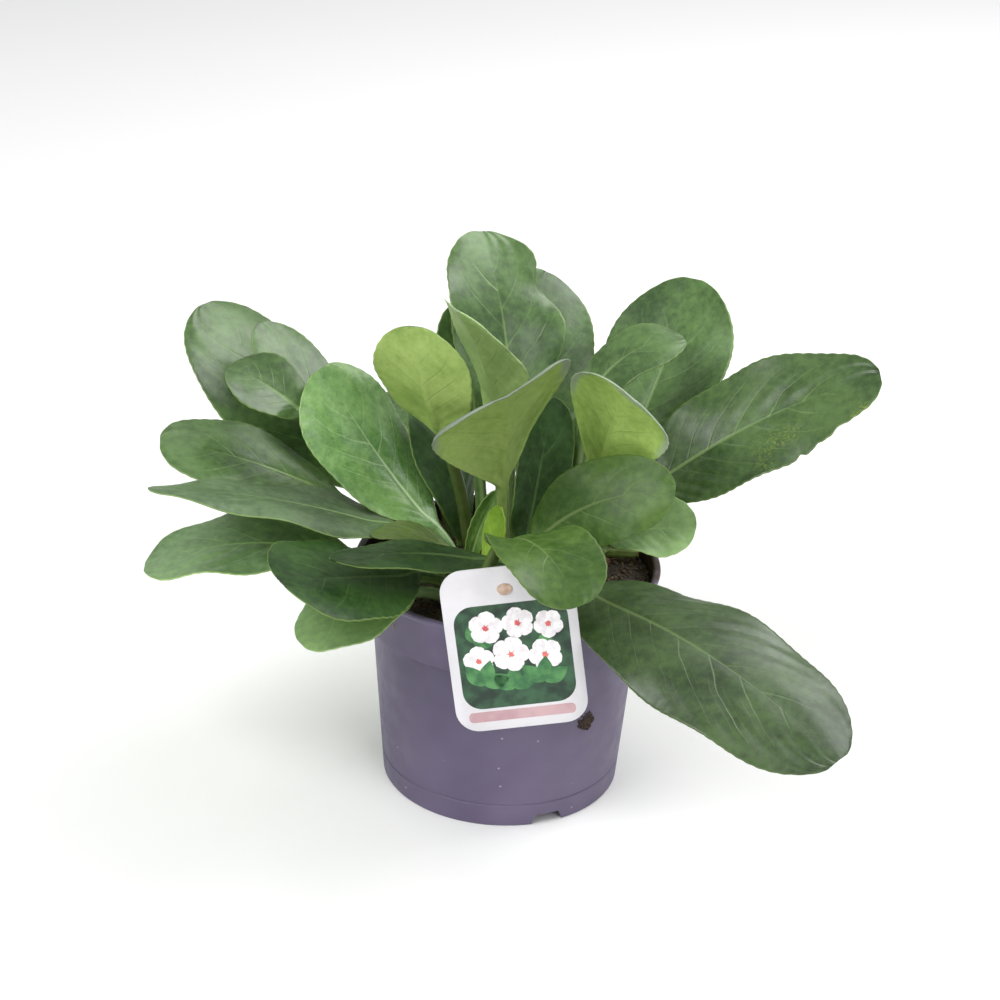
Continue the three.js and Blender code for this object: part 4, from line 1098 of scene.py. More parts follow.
def ring_mesh(name: str, rings: Array) -> Piece:
    """Makes a closed piece from rings of points in mm, each ring running round the same way.

    Args:
        name: the piece's name.
        rings: points by ring and place in the ring.

    Returns:
        The new object.
    """
    rows, around = rings.shape[:2]
    index = np.arange(rows * around).reshape(rows, around)
    here, beyond = index[:-1], index[1:]
    quads = np.stack([here, np.roll(here, -1, 1), np.roll(beyond, -1, 1), beyond], -1)
    faces = quads.reshape(-1, 4).tolist()
    faces.append(index[0][::-1].tolist())
    faces.append(index[-1].tolist())
    mesh = bpy.data.meshes.new(name)
    mesh.from_pydata((rings.reshape(-1, 3) * MM).tolist(), [], faces)
    mesh.polygons.foreach_set("use_smooth", np.ones(len(faces), bool))
    mesh.update()
    return add_piece(name, mesh)


def flat_shape(name: str, outline: Array, depth: float) -> Piece:
    """Makes a thin flat piece from an outline in the XY plane, in mm, rising by depth.

    Args:
        name: the piece's name.
        outline: points running anticlockwise.
        depth: thickness in mm.

    Returns:
        The new object.
    """
    low = np.column_stack([outline, np.zeros(len(outline))])
    high = np.column_stack([outline, np.full(len(outline), depth)])
    made = ring_mesh(name, np.stack([low, high]))
    made.data.polygons.foreach_set("use_smooth", np.zeros(len(made.data.polygons), bool))
    return made


def baked(made: Piece) -> Piece:
    """Turns a piece with modifiers into its plain evaluated mesh.

    Args:
        made: the piece.

    Returns:
        The same object without modifiers.
    """
    graph = bpy.context.evaluated_depsgraph_get()
    mesh = bpy.data.meshes.new_from_object(made.evaluated_get(graph))
    made.modifiers.clear()
    old = made.data
    made.data = mesh
    bpy.data.meshes.remove(old)
    return made


def moved(made: Piece, matrix: Matrix) -> Piece:
    """Moves a piece's mesh by a matrix given in metres, and leaves its object at the origin."""
    made.data.transform(matrix)
    return made


def settle(made: Piece, slot: str, nodes: tuple[str, ...] = ()) -> Piece:
    """Lets a finished piece ride on the plant's body.

    Args:
        made: the piece.
        slot: the record's material slot; not used.
        nodes: the plain solids that it stands for.

    Returns:
        The same piece.
    """
    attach(made, BODY)
    if nodes:
        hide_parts(*nodes)
    made.data.calc_loop_triangles()
    log.info("%s: %d triangles", made.name, len(made.data.loop_triangles))
    return made


class FormGroup:
    """A geometry tree with named inputs that ends in copies of a form in one finish."""

    def __init__(self, name: str, inputs: dict[str, str]) -> None:
        """Starts the tree with a surface, a form, a finish and further inputs.

        Args:
            name: the tree's name.
            inputs: kinds of further inputs by name.
        """
        self.tree = bpy.data.node_groups.new(name, "GeometryNodeTree")
        kinds = {"Surface": "Geometry", "Form": "Object", "Finish": "Material", **inputs}
        for label, kind in kinds.items():
            self.tree.interface.new_socket(label, in_out="INPUT", socket_type="NodeSocket" + kind)
        self.tree.interface.new_socket("Copies", in_out="OUTPUT", socket_type="NodeSocketGeometry")
        self.graph = Graph(self.tree)
        self.given = self.graph.add("NodeGroupInput").outputs

    def attribute(self, name: str) -> Socket:
        """A number kept with each point of the surface."""
        node = self.graph.add("GeometryNodeInputNamedAttribute", {"Name": name}, data_type="FLOAT")
        return node.outputs["Attribute"]

    def place_copies(self, points: object, rotation: object, scale: object) -> None:
        """Ends the tree with a real copy of the form on each point.

        Args:
            points: the points' socket.
            rotation: each copy's rotation.
            scale: each copy's scale.
        """
        form = self.graph.add("GeometryNodeObjectInfo", {"Object": self.given["Form"]}).outputs["Geometry"]
        inputs = {"Points": points, "Instance": form, "Rotation": rotation, "Scale": scale}
        copies = self.graph.add("GeometryNodeInstanceOnPoints", inputs)
        real = self.graph.add("GeometryNodeRealizeInstances", {0: copies.outputs[0]})
        inputs = {0: real.outputs[0], "Material": self.given["Finish"]}
        dressed = self.graph.add("GeometryNodeSetMaterial", inputs)
        self.graph.add("NodeGroupOutput", {0: dressed.outputs[0]})

    def run(self, name: str, mesh: bpy.types.Mesh, values: dict) -> Piece:
        """Runs the tree on a mesh and keeps the result as a plain mesh.

        Args:
            name: the new piece's name.
            mesh: the mesh that carries the copies.
            values: values of the inputs by name.

        Returns:
            The piece that holds all copies.
        """
        made = add_piece(name, mesh)
        modifier = made.modifiers.new(name, "NODES")
        modifier.node_group = self.tree
        for item in self.tree.interface.items_tree:
            if item.in_out == "INPUT" and item.name in values:
                modifier[item.identifier] = values[item.name]
        return baked(made)


@dataclass
class Scatter:
    """Spreads copies of a small form over a surface."""

    name: str
    density: float
    smallest: float
    largest: float
    seed: int
    tilt: float = math.pi
    mask: str = ""

    def group(self) -> FormGroup:
        """Builds the tree that spreads the copies.

        Returns:
            The tree.
        """
        numbers = dict.fromkeys(("Density", "Smallest", "Largest", "Tilt"), "Float")
        group = FormGroup(self.name + "_spread", {**numbers, "Seed": "Int"})
        graph, given = group.graph, group.given
        density: object = given["Density"]
        if self.mask:
            density = graph.product(density, group.attribute(self.mask))
        inputs = {"Mesh": given["Surface"], "Density": density, "Seed": given["Seed"]}
        points = graph.add("GeometryNodeDistributePointsOnFaces", inputs)
        lean = graph.add("ShaderNodeCombineXYZ", {0: given["Tilt"], 1: given["Tilt"], 2: math.tau}).outputs[0]
        least = graph.add("ShaderNodeVectorMath", {0: lean, "Scale": -1.0}, operation="SCALE").outputs[0]
        inputs = {"Min": least, "Max": lean, "Seed": given["Seed"]}
        turn = graph.add("FunctionNodeRandomValue", inputs, data_type="FLOAT_VECTOR")
        inputs = {2: given["Smallest"], 3: given["Largest"], "Seed": given["Seed"]}
        size = graph.add("FunctionNodeRandomValue", inputs, data_type="FLOAT")
        group.place_copies(points.outputs["Points"], turn.outputs[0], size.outputs[1])
        return group

    def build(self, surface: Piece, form: Piece, finish: Material) -> Piece:
        """Spreads the form and keeps the result as a plain mesh.

        Args:
            surface: the piece whose faces carry the copies.
            form: the small form, made round the origin.
            finish: the copies' material.

        Returns:
            The piece that holds all copies.
        """
        values = {
            "Form": form, "Finish": finish, "Density": self.density, "Smallest": self.smallest,
            "Largest": self.largest, "Tilt": self.tilt, "Seed": self.seed,
        }
        spread = self.group().run(self.name, surface.data.copy(), values)
        spread.data.polygons.foreach_set("use_smooth", np.ones(len(spread.data.polygons), bool))
        return spread


def crumb_form(name: str, seed: int) -> Piece:
    """An uneven lump of a millimetre's radius, for scattering.

    Args:
        name: the form's name.
        seed: seed of its unevenness.

    Returns:
        The form.
    """
    mesh = bpy.data.meshes.new(name)
    shape = bmesh.new()
    bmesh.ops.create_icosphere(shape, subdivisions=1, radius=MM)
    random = np.random.default_rng(seed)
    for vertex in shape.verts:
        vertex.co *= 1 + 0.5 * (random.random() - 0.5)
    shape.to_mesh(mesh)
    shape.free()
    return add_piece(name, mesh)


def fibre_form(name: str, length: float, thickness: float, bend: float) -> Piece:
    """A thin bent fibre, for scattering.

    Args:
        name: the form's name.
        length: its length in mm.
        thickness: its radius in mm.
        bend: how far its middle stands off its ends in mm.

    Returns:
        The form.
    """
    rings = []
    for step in np.linspace(-1, 1, 7):
        radius = thickness * (1 - 0.6 * step * step)
        middle = np.array([step * length / 2, 0.2 * bend * math.sin(4 * step), bend * (1 - step * step)])
        angles = (math.tau * k / 4 for k in range(4))
        rings.append([middle + radius * np.array([0, math.cos(a), math.sin(a)]) for a in angles])
    return ring_mesh(name, np.array(rings))


@dataclass
class NurseryPot:
    """Round pot with a foot ring, a deep collar, a lip and drain notches, in mm."""

    rim_radius: float = 75.0
    height: float = 116.0
    base_radius: float = 59.0
    collar_bottom: float = 89.5
    collar_radius: float = 71.5
    shoulder_radius: float = 66.0
    lip_width: float = 3.5
    wall: float = 2.0
    floor_bottom: float = 6.0
    floor_thickness: float = 2.0
    skirt_height: float = 12.5
    skirt_inset: float = 0.5
    foot_radius: float = 14.0
    segments: int = 176
    notch_angles: tuple[float, ...] = (-66.0, 54.0, 174.0)
    notch_bottom: float = 17.0
    notch_top: float = 12.0
    notch_height: float = 5.5
    notch_length: float = 16.0
    band_height: float = 3.2

    def wall_radius(self, height: float) -> float:
        """Radius of the outer wall below the collar."""
        return self.base_radius + (self.shoulder_radius - self.base_radius) * height / self.collar_bottom

    def profile(self) -> list[tuple[float, float]]:
        """The pot's section from the foot up the outside and down the inside.

        Returns:
            Radius and height pairs in mm.
        """
        inner = self.rim_radius - self.lip_width
        floor = self.floor_bottom + self.floor_thickness
        skirt = self.skirt_height
        skirt_radius = self.wall_radius(skirt)
        base_inner = self.base_radius - self.wall
        slope = (self.rim_radius - self.collar_radius) / (self.height - self.collar_bottom)
        band = self.height - self.band_height
        band_radius = self.collar_radius + slope * (band - self.collar_bottom)
        foot = [
            (0.0, 0.0), (self.foot_radius - 0.6, 0.0), (self.foot_radius, 0.6),
            (self.foot_radius, self.floor_bottom), (base_inner, self.floor_bottom),
            (base_inner, 0.5), (base_inner + 0.5, 0.0), (self.base_radius - 0.6, 0.0),
        ]
        outside = [
            (self.base_radius, 0.7), (self.wall_radius(skirt / 2), skirt / 2),
            (skirt_radius - 0.1, skirt - 0.9), (skirt_radius - self.skirt_inset, skirt - 0.4),
            (skirt_radius - self.skirt_inset, skirt), (skirt_radius, skirt + 0.5),
            (self.wall_radius(30.0), 30.0), (self.wall_radius(60.0), 60.0),
            (self.shoulder_radius - 0.1, self.collar_bottom - 0.8),
            (self.shoulder_radius + 0.5, self.collar_bottom),
        ]
        collar = [
            (self.collar_radius - 0.9, self.collar_bottom + 0.1),
            (self.collar_radius - 0.1, self.collar_bottom + 0.8),
            (band_radius - 0.35, band - 0.5), (band_radius - 0.4, band), (band_radius, band + 0.5),
            (self.rim_radius, self.height - 1.1), (self.rim_radius - 0.3, self.height - 0.3),
            (self.rim_radius - 1.0, self.height), (inner + 0.8, self.height), (inner, self.height - 0.6),
        ]
        inside = [
            (self.collar_radius - self.wall, self.collar_bottom + self.wall),
            (self.shoulder_radius - self.wall, self.collar_bottom - self.wall),
            (self.wall_radius(floor) - self.wall, floor), (0.0, floor),
        ]
        return foot + outside + collar + inside

    def notch(self, angle: float) -> Piece:
        """Cutter of one drain notch through the foot ring.

        Args:
            angle: where it lies round the pot in degrees.

        Returns:
            The cutter.
        """
        bottom, top, high = self.notch_bottom / 2, self.notch_top / 2, self.notch_height
        right = [(bottom, -1.0), (bottom, 0.0), (top, high)]
        left = [(-x, z) for x, z in right]
        cutter = flat_shape("notch_cutter", np.array([left[0], *right, left[2], left[1]]), self.notch_length)
        stand = Matrix.Rotation(math.radians(90), 4, "X")
        out = Matrix.Translation((0.0, -(self.base_radius - self.notch_length / 2) * MM, 0.0))
        turn = Matrix.Rotation(math.radians(angle + 90), 4, "Z")
        return moved(cutter, turn @ out @ stand)

    def build(self) -> Piece:
        """Makes the pot, cuts its notches and dresses it.

        Returns:
            The pot.
        """
        angles = np.arange(self.segments) * math.tau / self.segments
        ring = np.stack([np.cos(angles), np.sin(angles)], -1)
        mesh = bpy.data.meshes.new("pot_fine")
        shape = bmesh.new()
        rows = []
        for radius, height in self.profile():
            places = ring if radius else ring[:1]
            rows.append([shape.verts.new((x * radius * MM, y * radius * MM, height * MM)) for x, y in places])
        for low, high in zip(rows, rows[1:]):
            for i in range(self.segments):
                k = (i + 1) % self.segments
                corners = [low[i % len(low)], low[k % len(low)], high[k % len(high)], high[i % len(high)]]
                shape.faces.new(list(dict.fromkeys(corners)))
        bmesh.ops.recalc_face_normals(shape, faces=shape.faces)
        shape.to_mesh(mesh)
        shape.free()
        made = add_piece("pot_fine", mesh)
        cutters = [self.notch(angle) for angle in self.notch_angles]
        for cutter in cutters:
            cut = made.modifiers.new("notch", "BOOLEAN")
            cut.operation = "DIFFERENCE"
            cut.solver = "EXACT"
            cut.object = cutter
        baked(made)
        for cutter in cutters:
            bpy.data.objects.remove(cutter)
        made.data.materials.clear()
        made.data.materials.append(PotPlastic().build())
        smooth_by_angle(made, 32.0)
        return settle(made, "pot", ("pot",))


def smooth_by_angle(made: Piece, degrees: float) -> None:
    """Shades a piece smooth, with sharp edges where its faces turn by more than an angle.

    Args:
        made: the piece.
        degrees: the largest angle that stays smooth.
    """
    shape = bmesh.new()
    shape.from_mesh(made.data)
    for face in shape.faces:
        face.smooth = True
    for edge in shape.edges:
        edge.smooth = len(edge.link_faces) == 2 and edge.calc_face_angle(0.0) < math.radians(degrees)
    shape.to_mesh(made.data)
    shape.free()


@dataclass
class PottingSoil:
    """The compost: an uneven top with crumbs, fibres and white perlite, in mm."""

    edge_radius: float = 70.4
    edge_height: float = 107.0
    dome: float = 1.5
    rough: float = 1.4
    rings: int = 44
    segments: int = 168
    bottom_radius: float = 57.0
    bottom_height: float = 8.4
    collar_radius: float = 69.1
    collar_bottom: float = 91.9
    shoulder_radius: float = 63.6
    shoulder_height: float = 87.5
    seed: int = 23

    def heights(self, x: Array, y: Array) -> Array:
        """Height of the soil's top at a place.

        Args:
            x: places in mm.
            y: places in mm.

        Returns:
            Heights in mm.
        """
        share = np.clip(np.hypot(x, y) / self.edge_radius, 0, 1)
        bumps = np.zeros_like(x)
        random = np.random.default_rng(self.seed)
        for octave in range(22):
            pitch = 2.2 + 13.0 / (1 + octave / 3)
            angle, shift = random.uniform(0, math.tau, 2)
            wave = np.sin((x * math.cos(angle) + y * math.sin(angle)) * math.tau / pitch + shift)
            bumps += wave * pitch / 26
        return self.edge_height + self.dome * (1 - share**2) + self.rough * 0.35 * bumps * (1 - share**8)

    def build(self) -> list[Piece]:
        """Makes the soil and what lies in its top.

        Returns:
            The pieces.
        """
        angles = np.arange(self.segments) * math.tau / self.segments
        side = [
            (self.bottom_radius * 0.02, self.bottom_height), (self.bottom_radius, self.bottom_height),
            (self.shoulder_radius, self.shoulder_height), (self.collar_radius, self.collar_bottom),
        ]
        circle = np.stack([np.cos(angles), np.sin(angles)], -1)
        rings = [np.column_stack([radius * circle, np.full(self.segments, z)]) for radius, z in side]
        for i in range(self.rings):
            x, y = ((self.edge_radius * (1 - i / self.rings) + 0.02) * circle).T
            rings.append(np.stack([x, y, self.heights(x, y)], -1))
        made = ring_mesh("soil_fine", np.array(rings))
        made.data.materials.append(CompostFinish("compost", rgb(26, 21, 16), rgb(76, 62, 47)).build())
        top = self.top_only(made)
        pieces = [settle(made, "soil", ("soil",))]
        crumb = crumb_form("crumb_form", 3)
        fibre = fibre_form("fibre_form", 9.0, 0.22, 1.4)
        dark = CompostFinish("compost_crumb", rgb(40, 32, 24), rgb(112, 92, 70), scale=500.0).build()
        brown = CompostFinish("compost_fibre", rgb(52, 36, 24), rgb(118, 86, 58), scale=600.0).build()
        white = CompostFinish("perlite", rgb(190, 184, 172), rgb(232, 228, 220), 0.9, 500.0).build()
        for scatter, form, finish in (
            (Scatter("soil_crumbs", 105000.0, 0.4, 1.6, 5), crumb, dark),
            (Scatter("soil_fibres", 26000.0, 0.5, 1.3, 8, tilt=0.5), fibre, brown),
            (Scatter("soil_perlite", 1500.0, 0.5, 1.1, 12), crumb, white),
        ):
            pieces.append(settle(scatter.build(top, form, finish), "soil"))
        for form in (crumb, fibre, top):
            bpy.data.objects.remove(form)
        return pieces

    def top_only(self, soil: Piece) -> Piece:
        """A copy of the soil's upper surface, for scattering.

        Args:
            soil: the whole soil.

        Returns:
            The copy.
        """
        mesh = soil.data.copy()
        shape = bmesh.new()
        shape.from_mesh(mesh)
        least = self.edge_height * 0.97 * MM
        rest = [face for face in shape.faces if face.normal.z < 0.5 or face.calc_center_median().z < least]
        bmesh.ops.delete(shape, geom=rest, context="FACES")
        shape.to_mesh(mesh)
        shape.free()
        return add_piece("soil_top", mesh)


@dataclass(frozen=True)
class CrownPlace:
    """Where one rootstock end stands, in mm."""

    node: str
    at: tuple[float, float]
    radius: float
    seed: int


@dataclass
class Rootstocks:
    """Knobbly rootstock ends that carry the leaves, wrapped in old brown scales."""

    rise: float = 4.0
    level: float = 107.0
    depth: float = 12.0
    sides: int = 56
    rows: int = 26
    foot_share: float = 0.35
    foot_width: float = 0.8
    widening: float = 0.24
    knobs: int = 5
    scale_depth: float = 0.05
    places: tuple[CrownPlace, ...] = (
        CrownPlace("crown_front", (-6.0, -8.0), 15.0, 3),
        CrownPlace("crown_left", (-42.0, 10.0), 14.0, 5),
        CrownPlace("crown_right", (36.0, 20.0), 14.0, 7),
        CrownPlace("crown_back", (2.0, 36.0), 14.0, 9),
    )

    def crown(self, place: CrownPlace) -> Piece:
        """One rootstock end.

        Args:
            place: where it stands.

        Returns:
            The new object.
        """
        random = np.random.default_rng(place.seed)
        angles = np.arange(self.sides) * math.tau / self.sides
        waves = [
            (random.integers(3, 9), random.uniform(0, math.tau), random.uniform(0.02, 0.06))
            for _ in range(self.knobs)
        ]
        rings = []
        for share in np.linspace(0, 1, self.rows):
            low = share < self.foot_share
            if low:
                height = -self.depth * (1 - share / self.foot_share)
                width = self.foot_width + self.widening * share / self.foot_share
            else:
                bend = (share - self.foot_share) / (1 - self.foot_share) * 1.57
                height = self.rise * math.sin(bend)
                width = (self.foot_width + self.widening) * max(math.cos(bend), 0.03)
            lump = sum(size * np.sin(count * angles + shift + 5 * share) for count, shift, size in waves)
            scale = self.scale_depth * np.abs(np.sin(5 * angles + 9 * share))
            radius = place.radius * width * (1 + lump + scale)
            x, y = place.at[0] + radius * np.cos(angles), place.at[1] + radius * np.sin(angles)
            rings.append(np.stack([x, y, self.level + height + 2 * lump * self.rise * (not low)], -1))
        return ring_mesh(place.node + "_fine", np.array(rings))

    def build(self) -> list[Piece]:
        """Makes and dresses all rootstock ends.

        Returns:
            The pieces.
        """
        bark = BarkFinish().build()
        made = []
        for place in self.places:
            crown = self.crown(place)
            crown.data.materials.append(bark)
            made.append(settle(crown, "rootstock", (place.node,)))
        return made


@dataclass
class OldStalk:
    """The cut end of an old stalk lying on the soil, in mm."""

    start: tuple[float, float, float] = (47.0, 23.0, 110.5)
    end: tuple[float, float, float] = (65.0, 20.0, 112.0)
    radius: float = 2.6
    sides: int = 28
    rows: int = 26
    cut_rings: tuple[tuple[float, float], ...] = ((0.72, -0.1), (0.5, -0.5), (0.05, -0.7))

    def build(self) -> Piece:
        """Makes the stalk end with a shrunken rim round its cut.

        Returns:
            The piece.
        """
        start, end = Vector(self.start), Vector(self.end)
        along = (end - start).normalized()
        side = along.cross(Vector((0, 0, 1))).normalized()
        up = side.cross(along)
        rings = []
        for share in np.linspace(0, 1, self.rows):
            shrunk = 0.8 * max(share - 0.8, 0) * share
            swell = 0.9 + 0.12 * math.sin(share * math.pi) - shrunk
            rings.append(self.ring(start.lerp(end, share), side, up, self.radius * swell))
        for inset, back in self.cut_rings:
            rings.append(self.ring(end + along * back, side, up, self.radius * inset))
        made = ring_mesh("petiole_stub_fine", np.array(rings))
        made.data.materials.append(StubFinish().build())
        return settle(made, "petiole", ("petiole_stub",))

    def ring(self, middle: Vector, side: Vector, up: Vector, radius: float) -> Array:
        """One slightly ribbed ring of points.

        Args:
            middle: its middle in mm.
            side: direction sideways.
            up: direction upwards.
            radius: its radius in mm.

        Returns:
            The points.
        """
        points = []
        for i in range(self.sides):
            angle = math.tau * i / self.sides
            reach = radius * (1 + 0.03 * math.cos(7 * angle))
            points.append(middle + (up * math.cos(angle) + side * math.sin(angle)) * reach)
        return np.array([tuple(p) for p in points])


@dataclass(frozen=True)
class Fan:
    """Petals or leaves that spread from one point of the card, in mm and degrees."""

    x: float
    y: float
    size: float
    start: float = 0.0
    hole: float = 0.0


@dataclass
class PlantCard:
    """Rounded plastic card that leans on the rim, with a made-up print, in mm."""

    width: float = 62.0
    height: float = 80.0
    thickness: float = 1.0
    corner: float = 11.0
    centre_x: float = 4.3
    centre_z: float = 110.0
    middle_y: float = -75.9
    turn: float = 9.0
    lean: float = 8.0
    rim_height: float = 116.0
    button_at: tuple[float, float] = (-1.0, 29.0)
    button_radii: tuple[float, float] = (3.6, 2.7)
    button_rings: tuple[tuple[float, float], ...] = (
        (1.0, 0.0), (1.0, 0.35), (0.93, 0.58), (0.75, 0.68), (0.4, 0.7), (0.05, 0.72),
    )
    tongue_x: float = -2.0
    tongue_width: float = 9.0
    tongue_thickness: float = 0.9
    tongue_path: tuple[tuple[float, float], ...] = (
        (-72.3, 139.0), (-70.2, 127.0), (-66.5, 118.0), (-64.5, 108.0), (-64.0, 98.0),
    )
    ink: float = 0.05
    panel: tuple[float, float, float] = (53.0, 51.0, 9.0)
    panel_middle: tuple[float, float] = (0.0, -3.5)
    band: tuple[float, float, float] = (50.0, 5.0, 2.0)
    band_middle: tuple[float, float] = (0.0, -33.0)
    spot_radius: float = 5.2
    spot_middle: tuple[float, float] = (19.0, 29.0)
    foliage: tuple[Fan, ...] = (
        Fan(-16.0, -18.0, 13.0, 20.0, 0.6), Fan(-2.0, -21.0, 12.0, 35.0, 0.6),
        Fan(12.0, -19.0, 13.0, 30.0, 0.6), Fan(19.0, 5.0, 9.0, 100.0, 0.4),
        Fan(-19.0, 4.0, 9.0, -10.0, 0.4),
    )
    flowers: tuple[Fan, ...] = (
        Fan(-12.0, 11.0, 7.4, 8.0, 0.9), Fan(3.0, 12.0, 7.0, 30.0, 0.9), Fan(17.0, 10.0, 6.4, 50.0, 0.8),
        Fan(-17.0, -5.0, 6.8, 22.0, 0.8), Fan(-2.0, -3.0, 8.0, 0.0, 1.0), Fan(14.0, -5.0, 7.4, 40.0, 0.9),
    )
    heart_share: float = 0.22

    def place(self) -> Matrix:
        """The matrix, in metres, from the card's own plane to its place on the pot."""
        fall = (self.centre_z - self.rim_height) / math.cos(math.radians(self.lean)) * MM
        matrix = Matrix.Translation((self.centre_x * MM, self.middle_y * MM, self.rim_height * MM))
        matrix = matrix @ Matrix.Rotation(-math.radians(self.lean), 4, "X") @ Matrix.Translation((0, 0, fall))
        matrix = matrix @ Matrix.Rotation(math.radians(90), 4, "X")
        matrix = matrix @ Matrix.Translation((0, 0, -self.thickness / 2 * MM))
        return matrix @ Matrix.Rotation(math.radians(self.turn), 4, "Z")

    def rounded(self, width: float, height: float, corner: float, middle: tuple[float, float]) -> Array:
        """Outline of a rounded rectangle.

        Args:
            width: its width.
            height: its height.
            corner: its corner radius.
            middle: its middle.

        Returns:
            Points running anticlockwise.
        """
        points = []
        for quarter, (sx, sy) in enumerate(((1, 1), (-1, 1), (-1, -1), (1, -1))):
            for step in range(9):
                angle = math.radians(90 * quarter + 90 * step / 8)
                x = middle[0] + sx * (width / 2 - corner) + corner * math.cos(angle)
                y = middle[1] + sy * (height / 2 - corner) + corner * math.sin(angle)
                points.append((x, y))
        return np.array(points)

    def printed(self, name: str, outline: Array, finish: PrintFinish) -> Piece:
        """A patch of the lowest ink.

        Args:
            name: the patch's name.
            outline: its outline on the card.
            finish: its colour.

        Returns:
            The patch.
        """
        made = flat_shape(name, outline, self.ink)
        made.data.materials.append(finish.build())
        return self.laid(made, 1.0)

    def laid(self, made: Piece, layer: float) -> Piece:
        """Lays a piece of print on the card.

        Args:
            made: the piece, in the card's own plane.
            layer: layer of ink, 1 for the lowest.

        Returns:
            The piece.
        """
        lift = Matrix.Translation((0, 0, (self.thickness + self.ink * (layer - 0.9)) * MM))
        return settle(moved(made, self.place() @ lift), "card")

    def petal(self) -> Piece:
        """One broad petal of a millimetre's length, its foot at the origin."""
        share = np.linspace(0, 1, 9)
        side = 0.5 * np.sin(np.pi * share**1.5) ** 0.65 + 0.05 * (1 - share)
        outline = np.concatenate([np.column_stack([share, -side]), np.column_stack([share, side])[::-1][1:]])
        return flat_shape("petal_form", outline, self.ink / 4)

    def leaf_form(self) -> Piece:
        """One pointed leaf of a millimetre's length, its foot at the origin."""
        share = np.linspace(0, 1, 11)
        side = 0.3 * np.sin(np.pi * share) ** 0.9 * (1.15 - 0.4 * share)
        back = np.column_stack([share, side])[::-1][1:-1]
        outline = np.concatenate([np.column_stack([share, -side]), back])
        return flat_shape("leaf_form", outline, self.ink / 4)

    def wheels(
        self, name: str, form: Piece, fans: tuple[Fan, ...], copies: int, layer: float,
        finish: PrintFinish, fan_angle: float,
    ) -> Piece:
        """Sets copies of a form in fans on the card.

        Args:
            name: the piece's name.
            form: the petal or leaf.
            fans: where the fans lie.
            copies: copies in each fan.
            layer: layer of ink.
            finish: the copies' colour.
            fan_angle: angle between copies in degrees.

        Returns:
            The printed piece.
        """
        group = FormGroup(name + "_fan", {"Number": "Int", "Step": "Float"})
        graph, given = group.graph, group.given
        inputs = {"Geometry": given["Surface"], "Amount": given["Number"]}
        many = graph.add("GeometryNodeDuplicateElements", inputs, domain="POINT")
        number = many.outputs["Duplicate Index"]
        angle = graph.math("ADD", group.attribute("start"), graph.product(number, given["Step"]))
        turn = graph.add("ShaderNodeCombineXYZ", {2: angle}).outputs[0]
        hole = group.attribute("hole")
        step_x = graph.product(hole, graph.math("COSINE", angle))
        step_y = graph.product(hole, graph.math("SINE", angle))
        rise = graph.product(number, self.ink / 8 * MM)
        offset = graph.add("ShaderNodeCombineXYZ", {0: step_x, 1: step_y, 2: rise}).outputs[0]
        inputs = {"Geometry": many.outputs["Geometry"], "Offset": offset}
        points = graph.add("GeometryNodeSetPosition", inputs).outputs[0]
        group.place_copies(points, turn, group.attribute("size"))

        mesh = bpy.data.meshes.new(name)
        mesh.from_pydata([(fan.x * MM, fan.y * MM, 0.0) for fan in fans], [], [])
        numbers = {
            "size": [fan.size for fan in fans],
            "start": [math.radians(fan.start) for fan in fans],
            "hole": [fan.hole * MM for fan in fans],
        }
        for label, column in numbers.items():
            mesh.attributes.new(label, "FLOAT", "POINT").data.foreach_set("value", column)
        values = {"Form": form, "Finish": finish.build(), "Number": copies, "Step": math.radians(fan_angle)}
        return self.laid(group.run(name, mesh, values), layer)

    def plate(self) -> Piece:
        """The card itself with softened edges.

        Returns:
            The piece that stands for the card.
        """
        outer = self.rounded(self.width, self.height, self.corner, (0.0, 0.0))
        inner = self.rounded(self.width - 0.4, self.height - 0.4, self.corner - 0.2, (0.0, 0.0))
        levels = ((inner, 0.0), (outer, 0.2), (outer, self.thickness - 0.2), (inner, self.thickness))
        rings = [np.column_stack([outline, np.full(len(outline), z)]) for outline, z in levels]
        made = moved(ring_mesh("plant_card_fine", np.array(rings)), self.place())
        smooth_by_angle(made, 50.0)
        finish = PrintFinish("card_white", rgb(212, 210, 214), rgb(226, 224, 228), 40.0, 0.32)
        made.data.materials.append(finish.build())
        return settle(made, "card", ("plant_card",))

    def tongue(self) -> Piece:
        """The narrow tongue behind the card, over the rim and down into the soil.

        Returns:
            The piece.
        """
        path = np.array(self.tongue_path)
        marks = np.linspace(0, len(path) - 1, 33)
        y = np.interp(marks, range(len(path)), path[:, 0])
        z = np.interp(marks, range(len(path)), path[:, 1])
        kernel = np.array([1, 2, 3, 2, 1]) / 9
        y[2:-2] = np.convolve(y, kernel, "valid")
        z[2:-2] = np.convolve(z, kernel, "valid")
        run = np.hypot(np.gradient(y), np.gradient(z))
        lean_y, lean_z = -np.gradient(z) / run, np.gradient(y) / run
        half, deep = self.tongue_width / 2, self.tongue_thickness / 2
        corners = ((-half, deep), (half, deep), (half, -deep), (-half, -deep))
        rings = [
            [(self.tongue_x + side, y[k] + lean_y[k] * d, z[k] + lean_z[k] * d) for side, d in corners]
            for k in range(len(y))
        ]
        made = ring_mesh("plant_card_tongue", np.array(rings))
        smooth_by_angle(made, 40.0)
        finish = PrintFinish("tongue_white", rgb(206, 204, 206), rgb(226, 224, 226), 60.0)
        made.data.materials.append(finish.build())
        return settle(made, "card")

